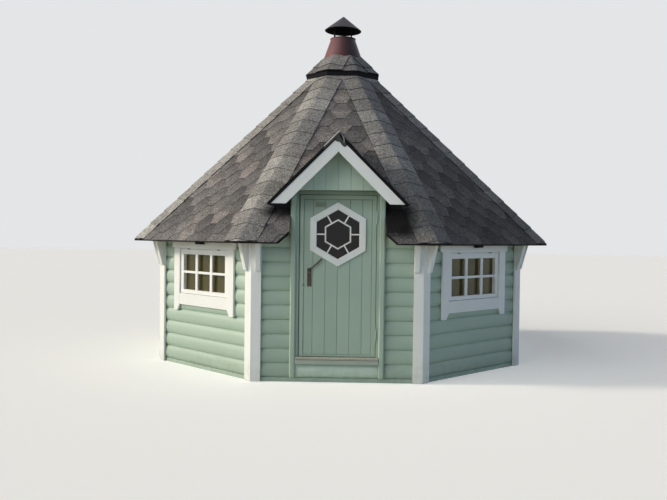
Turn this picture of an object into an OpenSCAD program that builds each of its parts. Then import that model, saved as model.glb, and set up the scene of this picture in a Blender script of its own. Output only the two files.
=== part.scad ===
// Octagonal grill cabin: log walls, a steep eight-sided roof with a smoke cap, and a
// dormer over the door. The front faces -Y, and z = 0 is the ground under the base frame.

/* [Plan] */
// Distance from the centre to the joints between the logs, square to a wall
wall_a = 2033; // [1950:1:2060]
// Height of the base frame that shows under the lowest log
base_h = 40; // [30:1:60]
// Width of the boards that cover each corner
post_w = 100; // [80:1:120]

/* [Log walls] */
// Height of one log board
log_h = 145; // [120:1:160]
// Number of log boards up to the roof, the last one cut to its slope
log_count = 12; // [11:1:13]
// Thickness of a log board at its crown
log_t = 45; // [40:1:60]
// How far the rounded face of a log stands out from its joints
log_bulge = 24; // [12:1:26]
// Radius of the rounded edges of a log
log_round = 45; // [30:1:50]

/* [Roof] */
// Distance from the centre to the eave, square to a roof face
eave_a = 2350; // [2300:1:2400]
// Height of the roof surface at the eave
eave_z = 1403; // [1380:1:1420]
// Pitch of the roof
roof_pitch = 45.9; // [44:0.1:48]
// Thickness of the roof boards with their covering
roof_t = 24; // [18:1:40]
// Distance from the centre to the upper end of the roof panels
ring_a = 300; // [280:1:330]
// Distance from the centre to the edge of the smoke cap
cap_a = 446; // [420:1:470]
// Height of the smoke cap's edge
cap_z = 3451; // [3430:1:3470]
// Height of the dark band under the edge of the smoke cap
cap_band = 57; // [40:1:70]

/* [Chimney] */
// Outer radius of the chimney cone at its foot
cone_r1 = 212; // [200:1:220]
// Outer radius of the chimney cone at its top
cone_r2 = 155; // [140:1:170]
// Height of the top of the chimney cone
cone_top = 3944; // [3900:1:3980]
// Radius of the rain hat
hat_r = 230; // [220:1:240]
// Height of the rim of the rain hat
hat_z = 4045; // [4020:1:4060]
// Height of the rain hat from rim to point
hat_h = 185; // [150:1:220]

/* [Door] */
// Width of the door leaf
leaf_w = 768; // [720:1:780]
// Height of the door leaf's lower edge
leaf_z0 = 263; // [250:1:280]
// Height of the door leaf's upper edge
leaf_z1 = 1876; // [1800:1:1890]
// Thickness of the door leaf
leaf_t = 45; // [40:1:50]
// Distance from the centre to the outer face of the door leaf
leaf_a = 2070; // [2065:1:2075]
// Outer half width of the door posts
bay_half = 471; // [465:1:480]
// Width of the trim on each door post
pilaster_w = 55; // [45:1:60]
// Gap around the door leaf
leaf_gap = 5; // [5:0.5:8]
// Radius of the hexagonal window frame, centre to corner
hex_r = 320; // [300:1:330]
// Radius of the hexagonal glass opening, centre to corner
hex_in = 246; // [220:1:255]
// Height of the middle of the hexagonal window
hex_z = 1484; // [1460:1:1500]

/* [Dormer] */
// Height of the bargeboards' inner edges where they meet
barge_in = 2279; // [2250:1:2300]
// Width of a bargeboard
barge_w = 102; // [90:1:110]
// Height at which the bargeboards end
barge_z = 1777; // [1760:1:1790]
// Half width of the dormer roof at its lower corners
dormer_half = 694; // [680:1:700]
// Thickness of the dormer roof
dormer_t = 40; // [30:1:45]
// Height of the lower edge of the boarded gable
gable_z = 1921; // [1900:1:1940]

/* [Windows] */
// Width of the window sash
sash_w = 900; // [860:1:920]
// Height of the sash's lower edge
sash_z0 = 807; // [790:1:820]
// Height of the sash's upper edge
sash_z1 = 1316; // [1300:1:1330]
// Width of a pane
pane_w = 232; // [220:1:236]
// Height of a pane
pane_h = 183; // [170:1:186]
// Height of the lower edge of the lower panes
pane_z = 852; // [845:1:860]

/* [Hidden] */

half_angle = 22.5;
wide = 1200;
tall = 5000;
fit = 0.05;
crown_a = wall_a + log_bulge;
inner_a = crown_a - log_t;
cover_t = 25;
cover_a = crown_a + cover_t;
casing_a = cover_a - 2;
log_edge = sqrt(pow(log_round, 2) - pow(log_round - log_bulge, 2));
arc_steps = 6;
rise = tan(roof_pitch);
roof_drop = roof_t / cos(roof_pitch);
cap_t = 22;
cap_drop = cap_t / cos(roof_pitch);
post_z = base_h + 2;
window_sides = [1, 3, 5, 7];

// Sizes of the floor
joist_w = 45;
joist_gap = 600;
floor_z = 100;
floor_t = 28;
frame_w = 100;
frame_a = wall_a + 17;

// Places of the door and its hardware
jamb_in = leaf_w / 2 + leaf_gap;
jamb_back = inner_a - leaf_t + 21;
pilaster_t = 30;
sill_z0 = base_h + log_h + 2;
sill_z1 = leaf_z0 - leaf_gap;
head_z0 = leaf_z1 + leaf_gap;
head_z1 = 1960;
hinge_x = leaf_w / 2 + leaf_gap / 2;
hinge_y = -(leaf_a + 8);
hinge_h = 120;
hinge_heights = [426, 1593];
barrel_r = 7;
pin_r = 4;
stop_w = 17;
stop_gap = 5;
rim_w = 43;
rim_deep = 8;
field_y = -(leaf_a - rim_deep);
plate_x = -281;
plate_z0 = 959;
plate_z1 = 1144;
spindle_z = 1131;
lever_tilt = 41;

// Places of the dormer: its slopes are at 45 degrees
barge_out = barge_in + barge_w * sqrt(2);
dormer_top = barge_out + dormer_t * sqrt(2);
barge_front = eave_a - 10;
barge_t = 22;
gable_t = 20;
pilaster_a = leaf_a + pilaster_t;
notch_half = 592;
notch_end = 104;
notch_gap = 4;

function roof_z(a) = eave_z + (eave_a - a) * rise;
function under_z(a) = roof_z(a) - roof_drop;
function rest_z(a) = under_z(a) - fit;
function cap_top(a) = cap_z + (cap_a - a) * rise;
function roof_at(z) = eave_a - (z - eave_z) / rise;

// A section drawn in Y and Z, run along X
module along_x(x0, x1) {
    translate([x0, 0, 0])
        rotate([90, 0, 90])
            linear_extrude(x1 - x0) children();
}

// A front view drawn in X and Z, run back from the plane at distance a in front
module from_front(a, t) {
    translate([0, t - a, 0])
        rotate([90, 0, 0])
            linear_extrude(t) children();
}

// The wedge of the plan that one side of the octagon takes
module sector(a) {
    half = a * tan(half_angle) - fit;
    linear_extrude(tall) polygon([[0, 0], [-half, -a], [half, -a]]);
}

// Turns a piece from the front side to side k, counted round to the right
module side(k) {
    rotate([0, 0, 45 * k]) children();
}

// One mitred side of a ring with the given section
module mitred(k, a) {
    side(k)
        intersection() {
            along_x(-wide, wide) children();
            sector(a);
        }
}

// Points of one log's rounded face, from its lower joint up to its upper one
function log_face(z0) =
    let (turn = asin(log_edge / log_round), x = log_round - crown_a)
    [for (s = [-1, 1], i = [0 : arc_steps])
        let (a = turn * (s < 0 ? i / arc_steps - 1 : i / arc_steps),
            z = s < 0 ? z0 + log_edge : z0 + log_h - log_edge)
        [x - log_round * cos(a), z + log_round * sin(a)]];

// Section of a stack of logs, flat behind
module log_stack(count) {
    face = [for (i = [0 : count - 1])
        let (points = log_face(base_h + i * log_h))
        each (i == 0 ? points : [for (k = [1 : len(points) - 1]) points[k]])];
    polygon(concat(face, [[-inner_a, base_h + count * log_h], [-inner_a, base_h]]));
}

// Section of a whole wall, its top cut to the underside of the roof
module wall_section() {
    intersection() {
        log_stack(log_count);
        polygon([[-cover_a, 0], [-inner_a, 0], [-inner_a, rest_z(inner_a)],
            [-cover_a, rest_z(cover_a)]]);
    }
}

module plain_wall(k) {
    mitred(k, crown_a) wall_section();
}

module window_hole() {
    translate([-sash_w / 2, -cover_a, sash_z0]) cube([sash_w, 2 * log_t, sash_z1 - sash_z0]);
}

module window_wall(k) {
    difference() {
        plain_wall(k);
        side(k) window_hole();
    }
}

// Front wall beside the door, right = 1 and left = -1
module front_piece(right) {
    x0 = right > 0 ? bay_half : -wide;
    intersection() {
        along_x(x0, x0 + wide - bay_half) wall_section();
        sector(crown_a);
    }
}

// Octagonal plate with flats at distance a from the centre
module octagon(a, h) {
    rotate(half_angle) cylinder(h = h, r = a / cos(half_angle), $fn = 8);
}

module base_frame() {
    color("dimgray")
        difference() {
            octagon(frame_a, base_h);
            translate([0, 0, -1]) octagon(frame_a - frame_w, base_h + 2);
        }
}

module floor_joists() {
    deep = floor_z - floor_t;
    reach = frame_a - frame_w - fit;
    color("burlywood")
        for (i = [-2 : 2]) {
            x = i * joist_gap;
            half = min(reach, reach * sqrt(2) - abs(x) - joist_w / 2);
            translate([x - joist_w / 2, -half, 0]) cube([joist_w, 2 * half, deep]);
        }
}

module floor() {
    color("tan")
        translate([0, 0, floor_z - floor_t]) octagon(inner_a - 6, floor_t);
}

module front_wall_left() {
    color("darkseagreen") front_piece(-1);
}

module front_wall_right() {
    color("darkseagreen") front_piece(1);
}

// The lowest log runs on under the door
module doorstep_log() {
    color("darkseagreen")
        along_x(-bay_half, bay_half) log_stack(1);
}

module threshold() {
    half = bay_half - pilaster_w;
    nose = 12;
    color("gray")
        along_x(-half, half)
            polygon([[-(pilaster_a + nose), sill_z0], [-inner_a, sill_z0],
                [-inner_a, sill_z1], [-pilaster_a, sill_z1],
                [-(pilaster_a + nose), sill_z1 - nose]]);
}

module wall_front_right() {
    color("darkseagreen") window_wall(1);
}

module wall_right() {
    color("darkseagreen") plain_wall(2);
}

module wall_back_right() {
    color("darkseagreen") window_wall(3);
}

module wall_back() {
    color("darkseagreen") plain_wall(4);
}

module wall_back_left() {
    color("darkseagreen") window_wall(5);
}

module wall_left() {
    color("darkseagreen") plain_wall(6);
}

module wall_front_left() {
    color("darkseagreen") window_wall(7);
}

// Everything under the slope of side k
module below_roof(k) {
    side(k)
        along_x(-wide, wide)
            polygon([[-eave_a, 0], [0, 0], [0, rest_z(0)], [-eave_a, rest_z(eave_a)]]);
}

// Two boards meet in a mitre over each corner, their tops cut to both slopes
module corner_pair() {
    outer = cover_a * tan(half_angle);
    back = crown_a + fit;
    along = [cos(45), sin(45)];
    in = [-sin(45), cos(45)];
    tip = [outer, -cover_a];
    intersection() {
        translate([0, 0, post_z])
            linear_extrude(tall)
                polygon([[outer - post_w, -cover_a], tip, tip + post_w * along,
                    tip + post_w * along + (cover_a - back) * in,
                    [back * tan(half_angle), -back], [outer - post_w, -back]]);
        below_roof(0);
        below_roof(1);
    }
}

module corner_boards() {
    color("white")
        for (k = [0 : 7])
            side(k) corner_pair();
}

// Outline of an eave bracket: a quarter-round toe, then a slope out to the roof
module bracket_outline() {
    toe = 24;
    toe_z = 1118;
    lean = 0.17;
    back = cover_a + fit;
    out = (toe + lean * (rest_z(back) - toe_z)) / (1 + lean * rise);
    polygon([[-back, toe_z], [-back - toe, toe_z],
        [-back - out, rest_z(back + out)], [-back, rest_z(back)]]);
    intersection() {
        translate([-back, toe_z]) circle(toe, $fn = 48);
        translate([-back - toe, toe_z - toe]) square(toe);
    }
}

module eave_brackets() {
    bracket_t = 47;
    edge = cover_a * tan(half_angle) - post_w;
    color("white")
        for (k = [0 : 7], x = [edge, -edge - bracket_t])
            side(k) along_x(x, x + bracket_t) bracket_outline();
}

// Jambs cut to the dormer's slope, a head between them, and stops behind the leaf
module door_frame() {
    stop_a = leaf_a - leaf_t - stop_gap;
    color("darkseagreen")
        union() {
            from_front(leaf_a, leaf_a - jamb_back)
                difference() {
                    polygon([[-bay_half, sill_z1], [bay_half, sill_z1],
                        [bay_half, barge_out - bay_half], [jamb_in, barge_out - jamb_in],
                        [jamb_in, head_z1], [-jamb_in, head_z1],
                        [-jamb_in, barge_out - jamb_in], [-bay_half, barge_out - bay_half]]);
                    translate([-jamb_in, 0]) square([2 * jamb_in, head_z0]);
                }
            from_front(stop_a, stop_a - jamb_back)
                difference() {
                    translate([-jamb_in, sill_z1]) square([2 * jamb_in, head_z0 - sill_z1]);
                    translate([stop_w - jamb_in, 0])
                        square([2 * (jamb_in - stop_w), head_z0 - stop_w]);
                }
        }
}

module door_pilasters() {
    color("darkseagreen")
        from_front(pilaster_a, pilaster_t)
            for (s = [-1, 1])
                polygon([[s * bay_half, post_z + 6], [s * (bay_half - pilaster_w), post_z + 6],
                    [s * (bay_half - pilaster_w), barge_out - bay_half + pilaster_w],
                    [s * bay_half, barge_out - bay_half]]);
}

module gable_panel() {
    color("darkseagreen")
        from_front(pilaster_a + gable_t, gable_t)
            polygon([[-bay_half, gable_z], [bay_half, gable_z],
                [bay_half, barge_out - bay_half], [0, barge_out],
                [-bay_half, barge_out - bay_half]]);
}

module bargeboards() {
    color("white")
        from_front(barge_front, barge_t)
            polygon([[0, barge_in], [barge_in - barge_z, barge_z],
                [barge_out - barge_z, barge_z], [0, barge_out],
                [barge_z - barge_out, barge_z], [barge_z - barge_in, barge_z]]);
}

// One slope of the dormer roof, ending where it meets the main roof
module dormer_slope(s) {
    foot = dormer_half - dormer_t / sqrt(2);
    low = barge_out - dormer_half;
    under = barge_out + fit;
    intersection() {
        from_front(eave_a, eave_a)
            polygon([[0, under], [0, dormer_top],
                [s * dormer_half, dormer_top - dormer_half], [s * foot, under - foot]]);
        along_x(-wide, wide)
            polygon([[-eave_a, low], [-roof_at(low) - fit, low],
                [-roof_at(dormer_top) - fit, dormer_top], [-eave_a, dormer_top]]);
    }
}

module dormer_roof_left() {
    color("dimgray") dormer_slope(-1);
}

module dormer_roof_right() {
    color("dimgray") dormer_slope(1);
}

// Small upright triangles that close the dormer's sides behind the door posts
module dormer_cheeks() {
    cheek_t = 20;
    top = barge_out - bay_half;
    color("darkseagreen")
        for (x = [-bay_half, bay_half - cheek_t])
            along_x(x, x + cheek_t)
                polygon([[fit - jamb_back, roof_z(jamb_back) + fit],
                    [-roof_at(top) - fit, top - fit], [fit - jamb_back, top - fit]]);
}

module roof_panel(k) {
    mitred(k, eave_a)
        polygon([[-eave_a, under_z(eave_a)], [-eave_a, roof_z(eave_a)],
            [-ring_a, roof_z(ring_a)], [-ring_a, under_z(ring_a)]]);
}

// Plan of the cut round the door: a notch in the eave, the bay and the dormer's inside
module bay_cut() {
    half = bay_half + notch_gap;
    inner = bay_half - 40;
    back = roof_at(barge_out - inner);
    shoulder = jamb_back - notch_gap;
    ridge = roof_at(barge_out - 20);
    linear_extrude(tall)
        polygon([[-notch_half, -eave_a - 1], [notch_half, -eave_a - 1],
            [half, notch_end - eave_a], [half, -shoulder], [inner, -shoulder],
            [inner, -back], [0, -ridge], [-inner, -back], [-inner, -shoulder],
            [-half, -shoulder], [-half, notch_end - eave_a]]);
}

module roof_front() {
    color("slategray")
        difference() {
            roof_panel(0);
            bay_cut();
        }
}

module roof_front_right() {
    color("slategray") roof_panel(1);
}

module roof_right() {
    color("slategray") roof_panel(2);
}

module roof_back_right() {
    color("slategray") roof_panel(3);
}

module roof_back() {
    color("slategray") roof_panel(4);
}

module roof_back_left() {
    color("slategray") roof_panel(5);
}

module roof_left() {
    color("slategray") roof_panel(6);
}

module roof_front_left() {
    color("slategray") roof_panel(7);
}

// Octagonal ring that takes the upper ends of the panels and carries the cap
module top_ring() {
    thick = 45;
    low = 3440;
    inner = ring_a - thick;
    color("burlywood")
        for (k = [0 : 7])
            mitred(k, ring_a)
                polygon([[-ring_a, low], [-inner, low], [-inner, cap_top(inner) - cap_drop],
                    [-ring_a, cap_top(ring_a) - cap_drop]]);
}

// Cap with a dark band under its edge and a round hole for the chimney
module roof_cap() {
    hole = 150;
    band_t = 16;
    inner = cap_a - band_t;
    color("slategray")
        difference() {
            for (k = [0 : 7])
                mitred(k, cap_a)
                    polygon([[-cap_a, cap_z - cap_band], [-cap_a, cap_z],
                        [-hole, cap_top(hole)], [-hole, cap_top(hole) - cap_drop],
                        [-inner, cap_top(inner) - cap_drop], [-inner, cap_z - cap_band]]);
            cylinder(h = tall, r = cone_r1, $fn = 96);
        }
}

module chimney_cone() {
    skin = 4;
    low = 3600;
    foot = cap_top(cone_r1) + 3;
    lip = 7;
    color("rosybrown")
        rotate_extrude($fn = 96)
            polygon([[cone_r1, low], [cone_r1, foot], [cone_r2, cone_top - lip],
                [cone_r2 + lip, cone_top], [cone_r2 + lip - skin, cone_top],
                [cone_r2 - skin, cone_top - lip], [cone_r1 - skin, foot],
                [cone_r1 - skin, low]]);
}

// Conical hat on four flat straps
module chimney_hat() {
    skin = 4;
    strap_w = 25;
    strap_r = cone_r2 - 4;
    strap_low = cone_top - 35;
    strap_top = hat_z + hat_h * (hat_r - strap_r) / hat_r - 3;
    color("dimgray")
        union() {
            rotate_extrude($fn = 96)
                polygon([[hat_r, hat_z], [0, hat_z + hat_h], [0, hat_z + hat_h - 5],
                    [hat_r - skin, hat_z]]);
            for (k = [0 : 3])
                rotate(45 + 90 * k)
                    translate([-strap_w / 2, -strap_r + 1, strap_low])
                        cube([strap_w, skin, strap_top - strap_low]);
        }
}

// Casing boards drawn as one front view: head, two legs and an apron
module casing_outline() {
    leg_w = 110;
    half = sash_w / 2;
    outer = half + leg_w;
    head = 37;
    head_h = 124;
    apron = 125;
    foot_z = 618;
    cut = 25;
    translate([-outer - head, sash_z1]) square([2 * (outer + head), head_h]);
    translate([-outer, sash_z0 - apron]) square([2 * outer, apron]);
    for (s = [-1, 1])
        polygon([[s * half, sash_z1], [s * half, foot_z + cut], [s * (half + cut), foot_z],
            [s * outer, foot_z], [s * outer, sash_z1]]);
}

module window_casings() {
    color("white")
        for (k = window_sides)
            side(k) from_front(casing_a, casing_a - crown_a - fit) casing_outline();
}

module window_sash() {
    proud = 30;
    thick = 40;
    stile = 42;
    rail = 27;
    pitch = pane_w + stile;
    from_front(wall_a + proud, thick)
        difference() {
            translate([-sash_w / 2, sash_z0]) square([sash_w, sash_z1 - sash_z0]);
            for (i = [-1 : 1], j = [0, 1])
                translate([i * pitch - pane_w / 2, pane_z + j * (pane_h + rail)])
                    square([pane_w, pane_h]);
        }
}

module window_sashes() {
    color("white")
        for (k = window_sides)
            side(k) window_sash();
}

// One sheet of glass behind the bars of each sash
module window_glass() {
    glass_a = wall_a - 10 - fit;
    margin = 20;
    color("lightblue")
        for (k = window_sides)
            side(k)
                from_front(glass_a, 4)
                    translate([margin - sash_w / 2, sash_z0 + margin])
                        square([sash_w - 2 * margin, sash_z1 - sash_z0 - 2 * margin]);
}

// Small dark lamp over the middle of each window
module window_lamps() {
    lamp_w = 110;
    lamp_z = 1381;
    lamp_h = 44;
    lamp_d = 70;
    color("black")
        for (k = window_sides)
            side(k)
                translate([-lamp_w / 2, -casing_a - fit - lamp_d, lamp_z])
                    cube([lamp_w, lamp_d, lamp_h]);
}

// Lower knuckles with their pins, and the flaps let into the jamb
module frame_hinges() {
    color("darkseagreen")
        for (z = hinge_heights)
            translate([hinge_x, hinge_y, z]) {
                cylinder(h = hinge_h / 2, r = barrel_r, $fn = 48);
                cylinder(h = hinge_h - 8, r = pin_r, $fn = 48);
                translate([leaf_gap / 2 - 2, 0, 0]) cube([2, 40, hinge_h / 2]);
            }
}

// Upper knuckles bored for the pins, and the flaps on the leaf's edge
module door_hinges() {
    play = 0.1;
    color("darkseagreen")
        for (z = hinge_heights)
            translate([hinge_x, hinge_y, z + hinge_h / 2 + 0.5])
                difference() {
                    union() {
                        cylinder(h = hinge_h / 2, r = barrel_r, $fn = 48);
                        translate([-leaf_gap / 2, 0, 0]) cube([2, 40, hinge_h / 2]);
                    }
                    translate([0, 0, -1]) cylinder(h = hinge_h / 2 - 5, r = pin_r + play, $fn = 48);
                }
}

// Hexagon with a corner up
module hexagon(r) {
    rotate(30) circle(r, $fn = 6);
}

// Leaf with a raised rim round its boarded field, and a hole for the window
module door_leaf() {
    half = leaf_w / 2;
    color("darkseagreen")
        difference() {
            from_front(leaf_a, leaf_t)
                translate([-half, leaf_z0]) square([leaf_w, leaf_z1 - leaf_z0]);
            from_front(leaf_a + 1, rim_deep + 1)
                translate([rim_w - half, leaf_z0 + rim_w - 10])
                    square([leaf_w - 2 * rim_w, leaf_z1 - leaf_z0 - 2 * rim_w + 10]);
            from_front(leaf_a + 1, leaf_t + 2)
                translate([0, hex_z]) hexagon(hex_in + 16);
            translate([plate_x, -leaf_a + 1, spindle_z])
                rotate([-90, 0, 0]) cylinder(h = 30, r = 6.5, $fn = 48);
        }
}

// White frame: a face ring on the field and a sleeve through the leaf
module hex_frame() {
    face_t = 20;
    color("white")
        union() {
            from_front(leaf_a - rim_deep + face_t, face_t)
                translate([0, hex_z])
                    difference() {
                        hexagon(hex_r);
                        hexagon(hex_in);
                    }
            from_front(leaf_a - rim_deep, leaf_t - rim_deep)
                translate([0, hex_z])
                    difference() {
                        hexagon(hex_in + 16);
                        hexagon(hex_in);
                    }
        }
}

// An inner hexagon of thin bars with six spokes to the middles of the frame's sides
module hex_muntins() {
    bar = 14;
    inner_r = 144;
    spoke0 = inner_r * cos(30);
    spoke1 = hex_in * cos(30) - fit;
    color("white")
        from_front(leaf_a - 7, 10)
            translate([0, hex_z]) {
                difference() {
                    hexagon(inner_r + bar / 2);
                    hexagon(inner_r - bar / 2);
                }
                for (k = [0 : 5])
                    rotate(60 * k) translate([spoke0, -bar / 2]) square([spoke1 - spoke0, bar]);
            }
}

module hex_glass() {
    color("darkslategray")
        from_front(leaf_a - 17, 4)
            translate([0, hex_z]) hexagon(hex_in);
}

// Long plate with a bore for the lever's spindle
module handle_plate() {
    plate_w = 42;
    plate_t = 4;
    color("saddlebrown")
        translate([plate_x, field_y - fit, 0])
            rotate([90, 0, 0])
                difference() {
                    translate([-plate_w / 2, plate_z0, 0])
                        cube([plate_w, plate_z1 - plate_z0, plate_t]);
                    translate([0, spindle_z, -1]) cylinder(h = plate_t + 2, r = 6.3, $fn = 48);
                }
}

// Lever on its spindle, resting with its grip raised
module door_lever() {
    grip = 165;
    color("black")
        translate([plate_x, field_y, spindle_z])
            rotate([90, 0, 0])
                union() {
                    translate([0, 0, -18]) cylinder(h = 40, r = 6, $fn = 48);
                    translate([0, 0, 4.5]) cylinder(h = 18, r = 10, $fn = 48);
                    rotate(lever_tilt) translate([0, -7, 14]) cube([grip, 14, 9]);
                }
}

base_frame();
floor_joists();
floor();
front_wall_left();
front_wall_right();
doorstep_log();
threshold();
wall_front_right();
wall_right();
wall_back_right();
wall_back();
wall_back_left();
wall_left();
wall_front_left();
corner_boards();
eave_brackets();
door_frame();
door_pilasters();
gable_panel();
bargeboards();
dormer_roof_left();
dormer_roof_right();
dormer_cheeks();
roof_front();
roof_front_right();
roof_right();
roof_back_right();
roof_back();
roof_back_left();
roof_left();
roof_front_left();
top_ring();
roof_cap();
chimney_cone();
chimney_hat();
window_casings();
window_sashes();
window_glass();
window_lamps();
frame_hinges();
door_leaf();
hex_frame();
hex_muntins();
hex_glass();
door_hinges();
handle_plate();
door_lever();
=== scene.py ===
"""Looks of an octagonal grill cabin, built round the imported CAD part.

The walls, roof, dormer, door and windows come from the CAD. This file lays the logs, shingles,
boards, mouldings and hardware over them, gives every surface its finish, and sets up the
stage. All lengths are metres.
"""

import math
import random
from functools import partial

import bmesh
import bpy
from mathutils import Matrix, Vector, noise


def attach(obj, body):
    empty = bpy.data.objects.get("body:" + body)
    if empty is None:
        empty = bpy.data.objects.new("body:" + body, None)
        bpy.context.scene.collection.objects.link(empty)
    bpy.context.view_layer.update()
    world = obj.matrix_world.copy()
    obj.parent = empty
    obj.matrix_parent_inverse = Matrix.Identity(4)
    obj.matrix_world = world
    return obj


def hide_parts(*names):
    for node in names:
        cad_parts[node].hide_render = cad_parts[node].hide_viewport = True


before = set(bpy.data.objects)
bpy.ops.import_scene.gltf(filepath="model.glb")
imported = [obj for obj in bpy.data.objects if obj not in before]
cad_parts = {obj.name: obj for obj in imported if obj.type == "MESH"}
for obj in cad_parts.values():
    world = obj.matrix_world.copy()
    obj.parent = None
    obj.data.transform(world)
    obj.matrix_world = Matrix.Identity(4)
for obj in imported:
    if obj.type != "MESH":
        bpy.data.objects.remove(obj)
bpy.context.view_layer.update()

bl_info = {
    "name": "Grill cabin",
    "version": (1, 0, 0),
    "blender": (4, 5, 0),
    "location": "View3D > Sidebar > Cabin",
    "description": "Shingles, boards, hardware and finishes of an octagonal grill cabin",
    "category": "Object",
}

# Plan and heights, as in the part's source. Names in _A are distances from the cabin's axis
HALF_TURN = math.radians(22.5)
TAN = math.tan(HALF_TURN)
WALL_A, CROWN_A, INNER_A, COVER_A = 2.033, 2.057, 2.012, 2.082
BASE_H, LOG_H, LOG_COUNT = 0.040, 0.145, 12
PITCH = math.radians(45.9)
RISE = math.tan(PITCH)
EAVE_A, EAVE_Z, ROOF_T, RING_A = 2.350, 1.403, 0.024, 0.300
BAY_HALF, PILASTER_A, LEAF_A = 0.471, 2.100, 2.070
BARGE_IN, BARGE_W, BARGE_Z, BARGE_FRONT = 2.279, 0.102, 1.777, 2.340
BARGE_OUT = BARGE_IN + BARGE_W * math.sqrt(2)
DORMER_T, DORMER_HALF = 0.040, 0.694
DORMER_TOP = BARGE_OUT + DORMER_T * math.sqrt(2) - 0.012
NOTCH_HALF, NOTCH_A, NOTCH_FOOT = 0.475, 2.246, 0.592
SASH_HALF, SASH_Z0, SASH_Z1 = 0.450, 0.807, 1.316
HEX_Z, HEX_R, HEX_IN = 1.484, 0.320, 0.246
LEAF_Z0, LEAF_Z1, LEAF_HALF, LEAF_T = 0.263, 1.876, 0.384, 0.045
PLATE_X, SPINDLE_Z = -0.281, 1.131
# The smoke cap climbs a little faster than the roof, to a cone that flares out over it
CAP_A, CAP_Z, CAP_RISE = 0.446, 3.451, 1.12
CONE_FOOT_R, CONE_TOP_R, CONE_FOOT_Z, CONE_TOP_Z = 0.245, 0.155, 3.6791, 3.944
# How full a log is in its middle, and how round at its edges
LOG_FULL, LOG_EDGE = 2.2, 0.7
# How much further the doorstep's log stands out than the wall's logs do
STEP_FULL = 1.9
# The turned-down felt along the eaves: how deep it hangs below them, and how far below the
# slope it starts and ends
EDGE_H, EDGE_TOP, EDGE_FOOT = 0.016, 0.0035, 0.034
# More than half the length of an eave of the roof and of the dormer. Cuts end what is laid
ALONG, DORMER_ALONG = 1.1, 2.4
# Brightness of the shingles at the far left and the far right: painted light and painted shade
SIDE_LIGHT_AND_SHADE = 1.42, 0.58

SIDES = [
    "front", "front_right", "right", "back_right", "back", "back_left", "left", "front_left"
]
WINDOW_SIDES = (1, 3, 5, 7)
# Turns a section drawn as distance from the axis and height into the front side's place
PROFILE = Matrix(((0, 0, -1, 0), (-1, 0, 0, 0), (0, 1, 0, 0), (0, 0, 0, 1)))
HIP_NORMALS = [Vector((s * math.cos(HALF_TURN), math.sin(HALF_TURN), 0)) for s in (1, -1)]
SLOPE_NORMAL = Vector((0, -math.sin(PITCH), math.cos(PITCH)))

# Finishes that several pieces share
GREEN = "sage green paint on planed logs"
# The door and its frame darken towards the gable: dust, and painted shade under the overhang
DUSTY_SHADED = "sage green paint, dusty under the gable"
# The gable boards and the doorstep take a lighter green: painted light for the light that falls on
# them
LIT_GREEN = "bleached sage green paint"
WHITE = "white paint on planed boards"
SLATE = "slate granules on bitumen shingle"
HIP_SLATE = "slate granules on hip caps"
CAP_SLATE = "slate granules on the smoke cap"
FELT = "cut edge of bitumen felt"
SPRUCE = "planed spruce boards"
# The dormer's boards are near-black: painted shade under its overhang
SHADED_SPRUCE = "dark stained spruce"
PINE = "planed pine floor"
ZINC = "zinc screw heads"


def roof_z(a):
    """Height of the main roof's surface at distance a from the centre."""
    return EAVE_Z + (EAVE_A - a) * RISE


def roof_at(z):
    """Distance from the centre at which the main roof reaches height z."""
    return EAVE_A - (z - EAVE_Z) / RISE


def under_z(a):
    """Height of the main roof's underside."""
    return roof_z(a) - ROOF_T / math.cos(PITCH)


def turn(k):
    """Rotation from the front side to side k, counted round to the right."""
    return Matrix.Rotation(k * 2 * HALF_TURN, 4, "Z")


def spin(degrees, axis="Z"):
    """Rotation about an axis."""
    return Matrix.Rotation(math.radians(degrees), 4, axis)


def shift(x, y, z):
    """Move by the given lengths."""
    return Matrix.Translation((x, y, z))


def front_frame(a):
    """Frame on a wall that faces the front: X to the right, Y up, Z out."""
    return Matrix(((1, 0, 0, 0), (0, 0, -1, -a), (0, 1, 0, 0), (0, 0, 0, 1)))


def roof_frame():
    """Frame on the front slope: X along the eave, Y up the slope, Z out."""
    cos, sin = math.cos(PITCH), math.sin(PITCH)
    return Matrix(((1, 0, 0, 0), (0, cos, -sin, -EAVE_A), (0, sin, cos, EAVE_Z), (0, 0, 0, 1)))


def axes_frame(across, up, out, foot):
    """Frame with these axes and this origin."""
    made = Matrix((across, up, out)).transposed().to_4x4()
    made.translation = foot
    return made


def hip_frame(a, z, lift):
    """Frame on the hip between the front side and the next, with Y up the hip."""
    ahead = Vector((-TAN, 1, RISE)).normalized()
    across = Vector((math.cos(HALF_TURN), math.sin(HALF_TURN), 0))
    out = across.cross(ahead)
    return axes_frame(across, ahead, out, Vector((a * TAN, -a, z)) + lift * out)


def hip_fold():
    """Angle between a wing of a hip cap and the line across it."""
    return SLOPE_NORMAL.angle(turn(1).to_3x3() @ SLOPE_NORMAL) / 2


def dormer_frame(s):
    """Frame on a slope of the dormer, with X along its eave and Y up to the ridge."""
    up, out = Vector((-s, 0, 1)).normalized(), Vector((s, 0, 1)).normalized()
    foot = Vector((s * DORMER_HALF, 0, DORMER_TOP - DORMER_HALF))
    return axes_frame(up.cross(out), up, out, foot)


# ---------------------------------------------------------------- cutting planes


def plane(point, normal):
    """A cutting plane. What lies on its normal's side is cut away."""
    return Vector(point), Vector(normal)


def above(z):
    """Cuts away what lies above a height."""
    return plane((0, 0, z), (0, 0, 1))


def below(z):
    """Cuts away what lies below a height."""
    return plane((0, 0, z), (0, 0, -1))


def beyond(a):
    """Cuts away what lies further out than a distance from the centre, in front of it."""
    return plane((0, -a, 0), (0, -1, 0))


def between(low, high):
    """Cuts that leave what lies between two distances from the centre, in front of it."""
    return [beyond(high), plane((0, -low, 0), (0, 1, 0))]


def turned_to(k, planes):
    """Planes of the front side, turned to side k."""
    return [(turn(k) @ point, turn(k).to_3x3() @ normal) for point, normal in planes]


def hip_cuts(gap=0.0):
    """Planes through the hips at either end of the front side, less a small gap."""
    return [(-gap * normal, normal) for normal in HIP_NORMALS]


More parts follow.
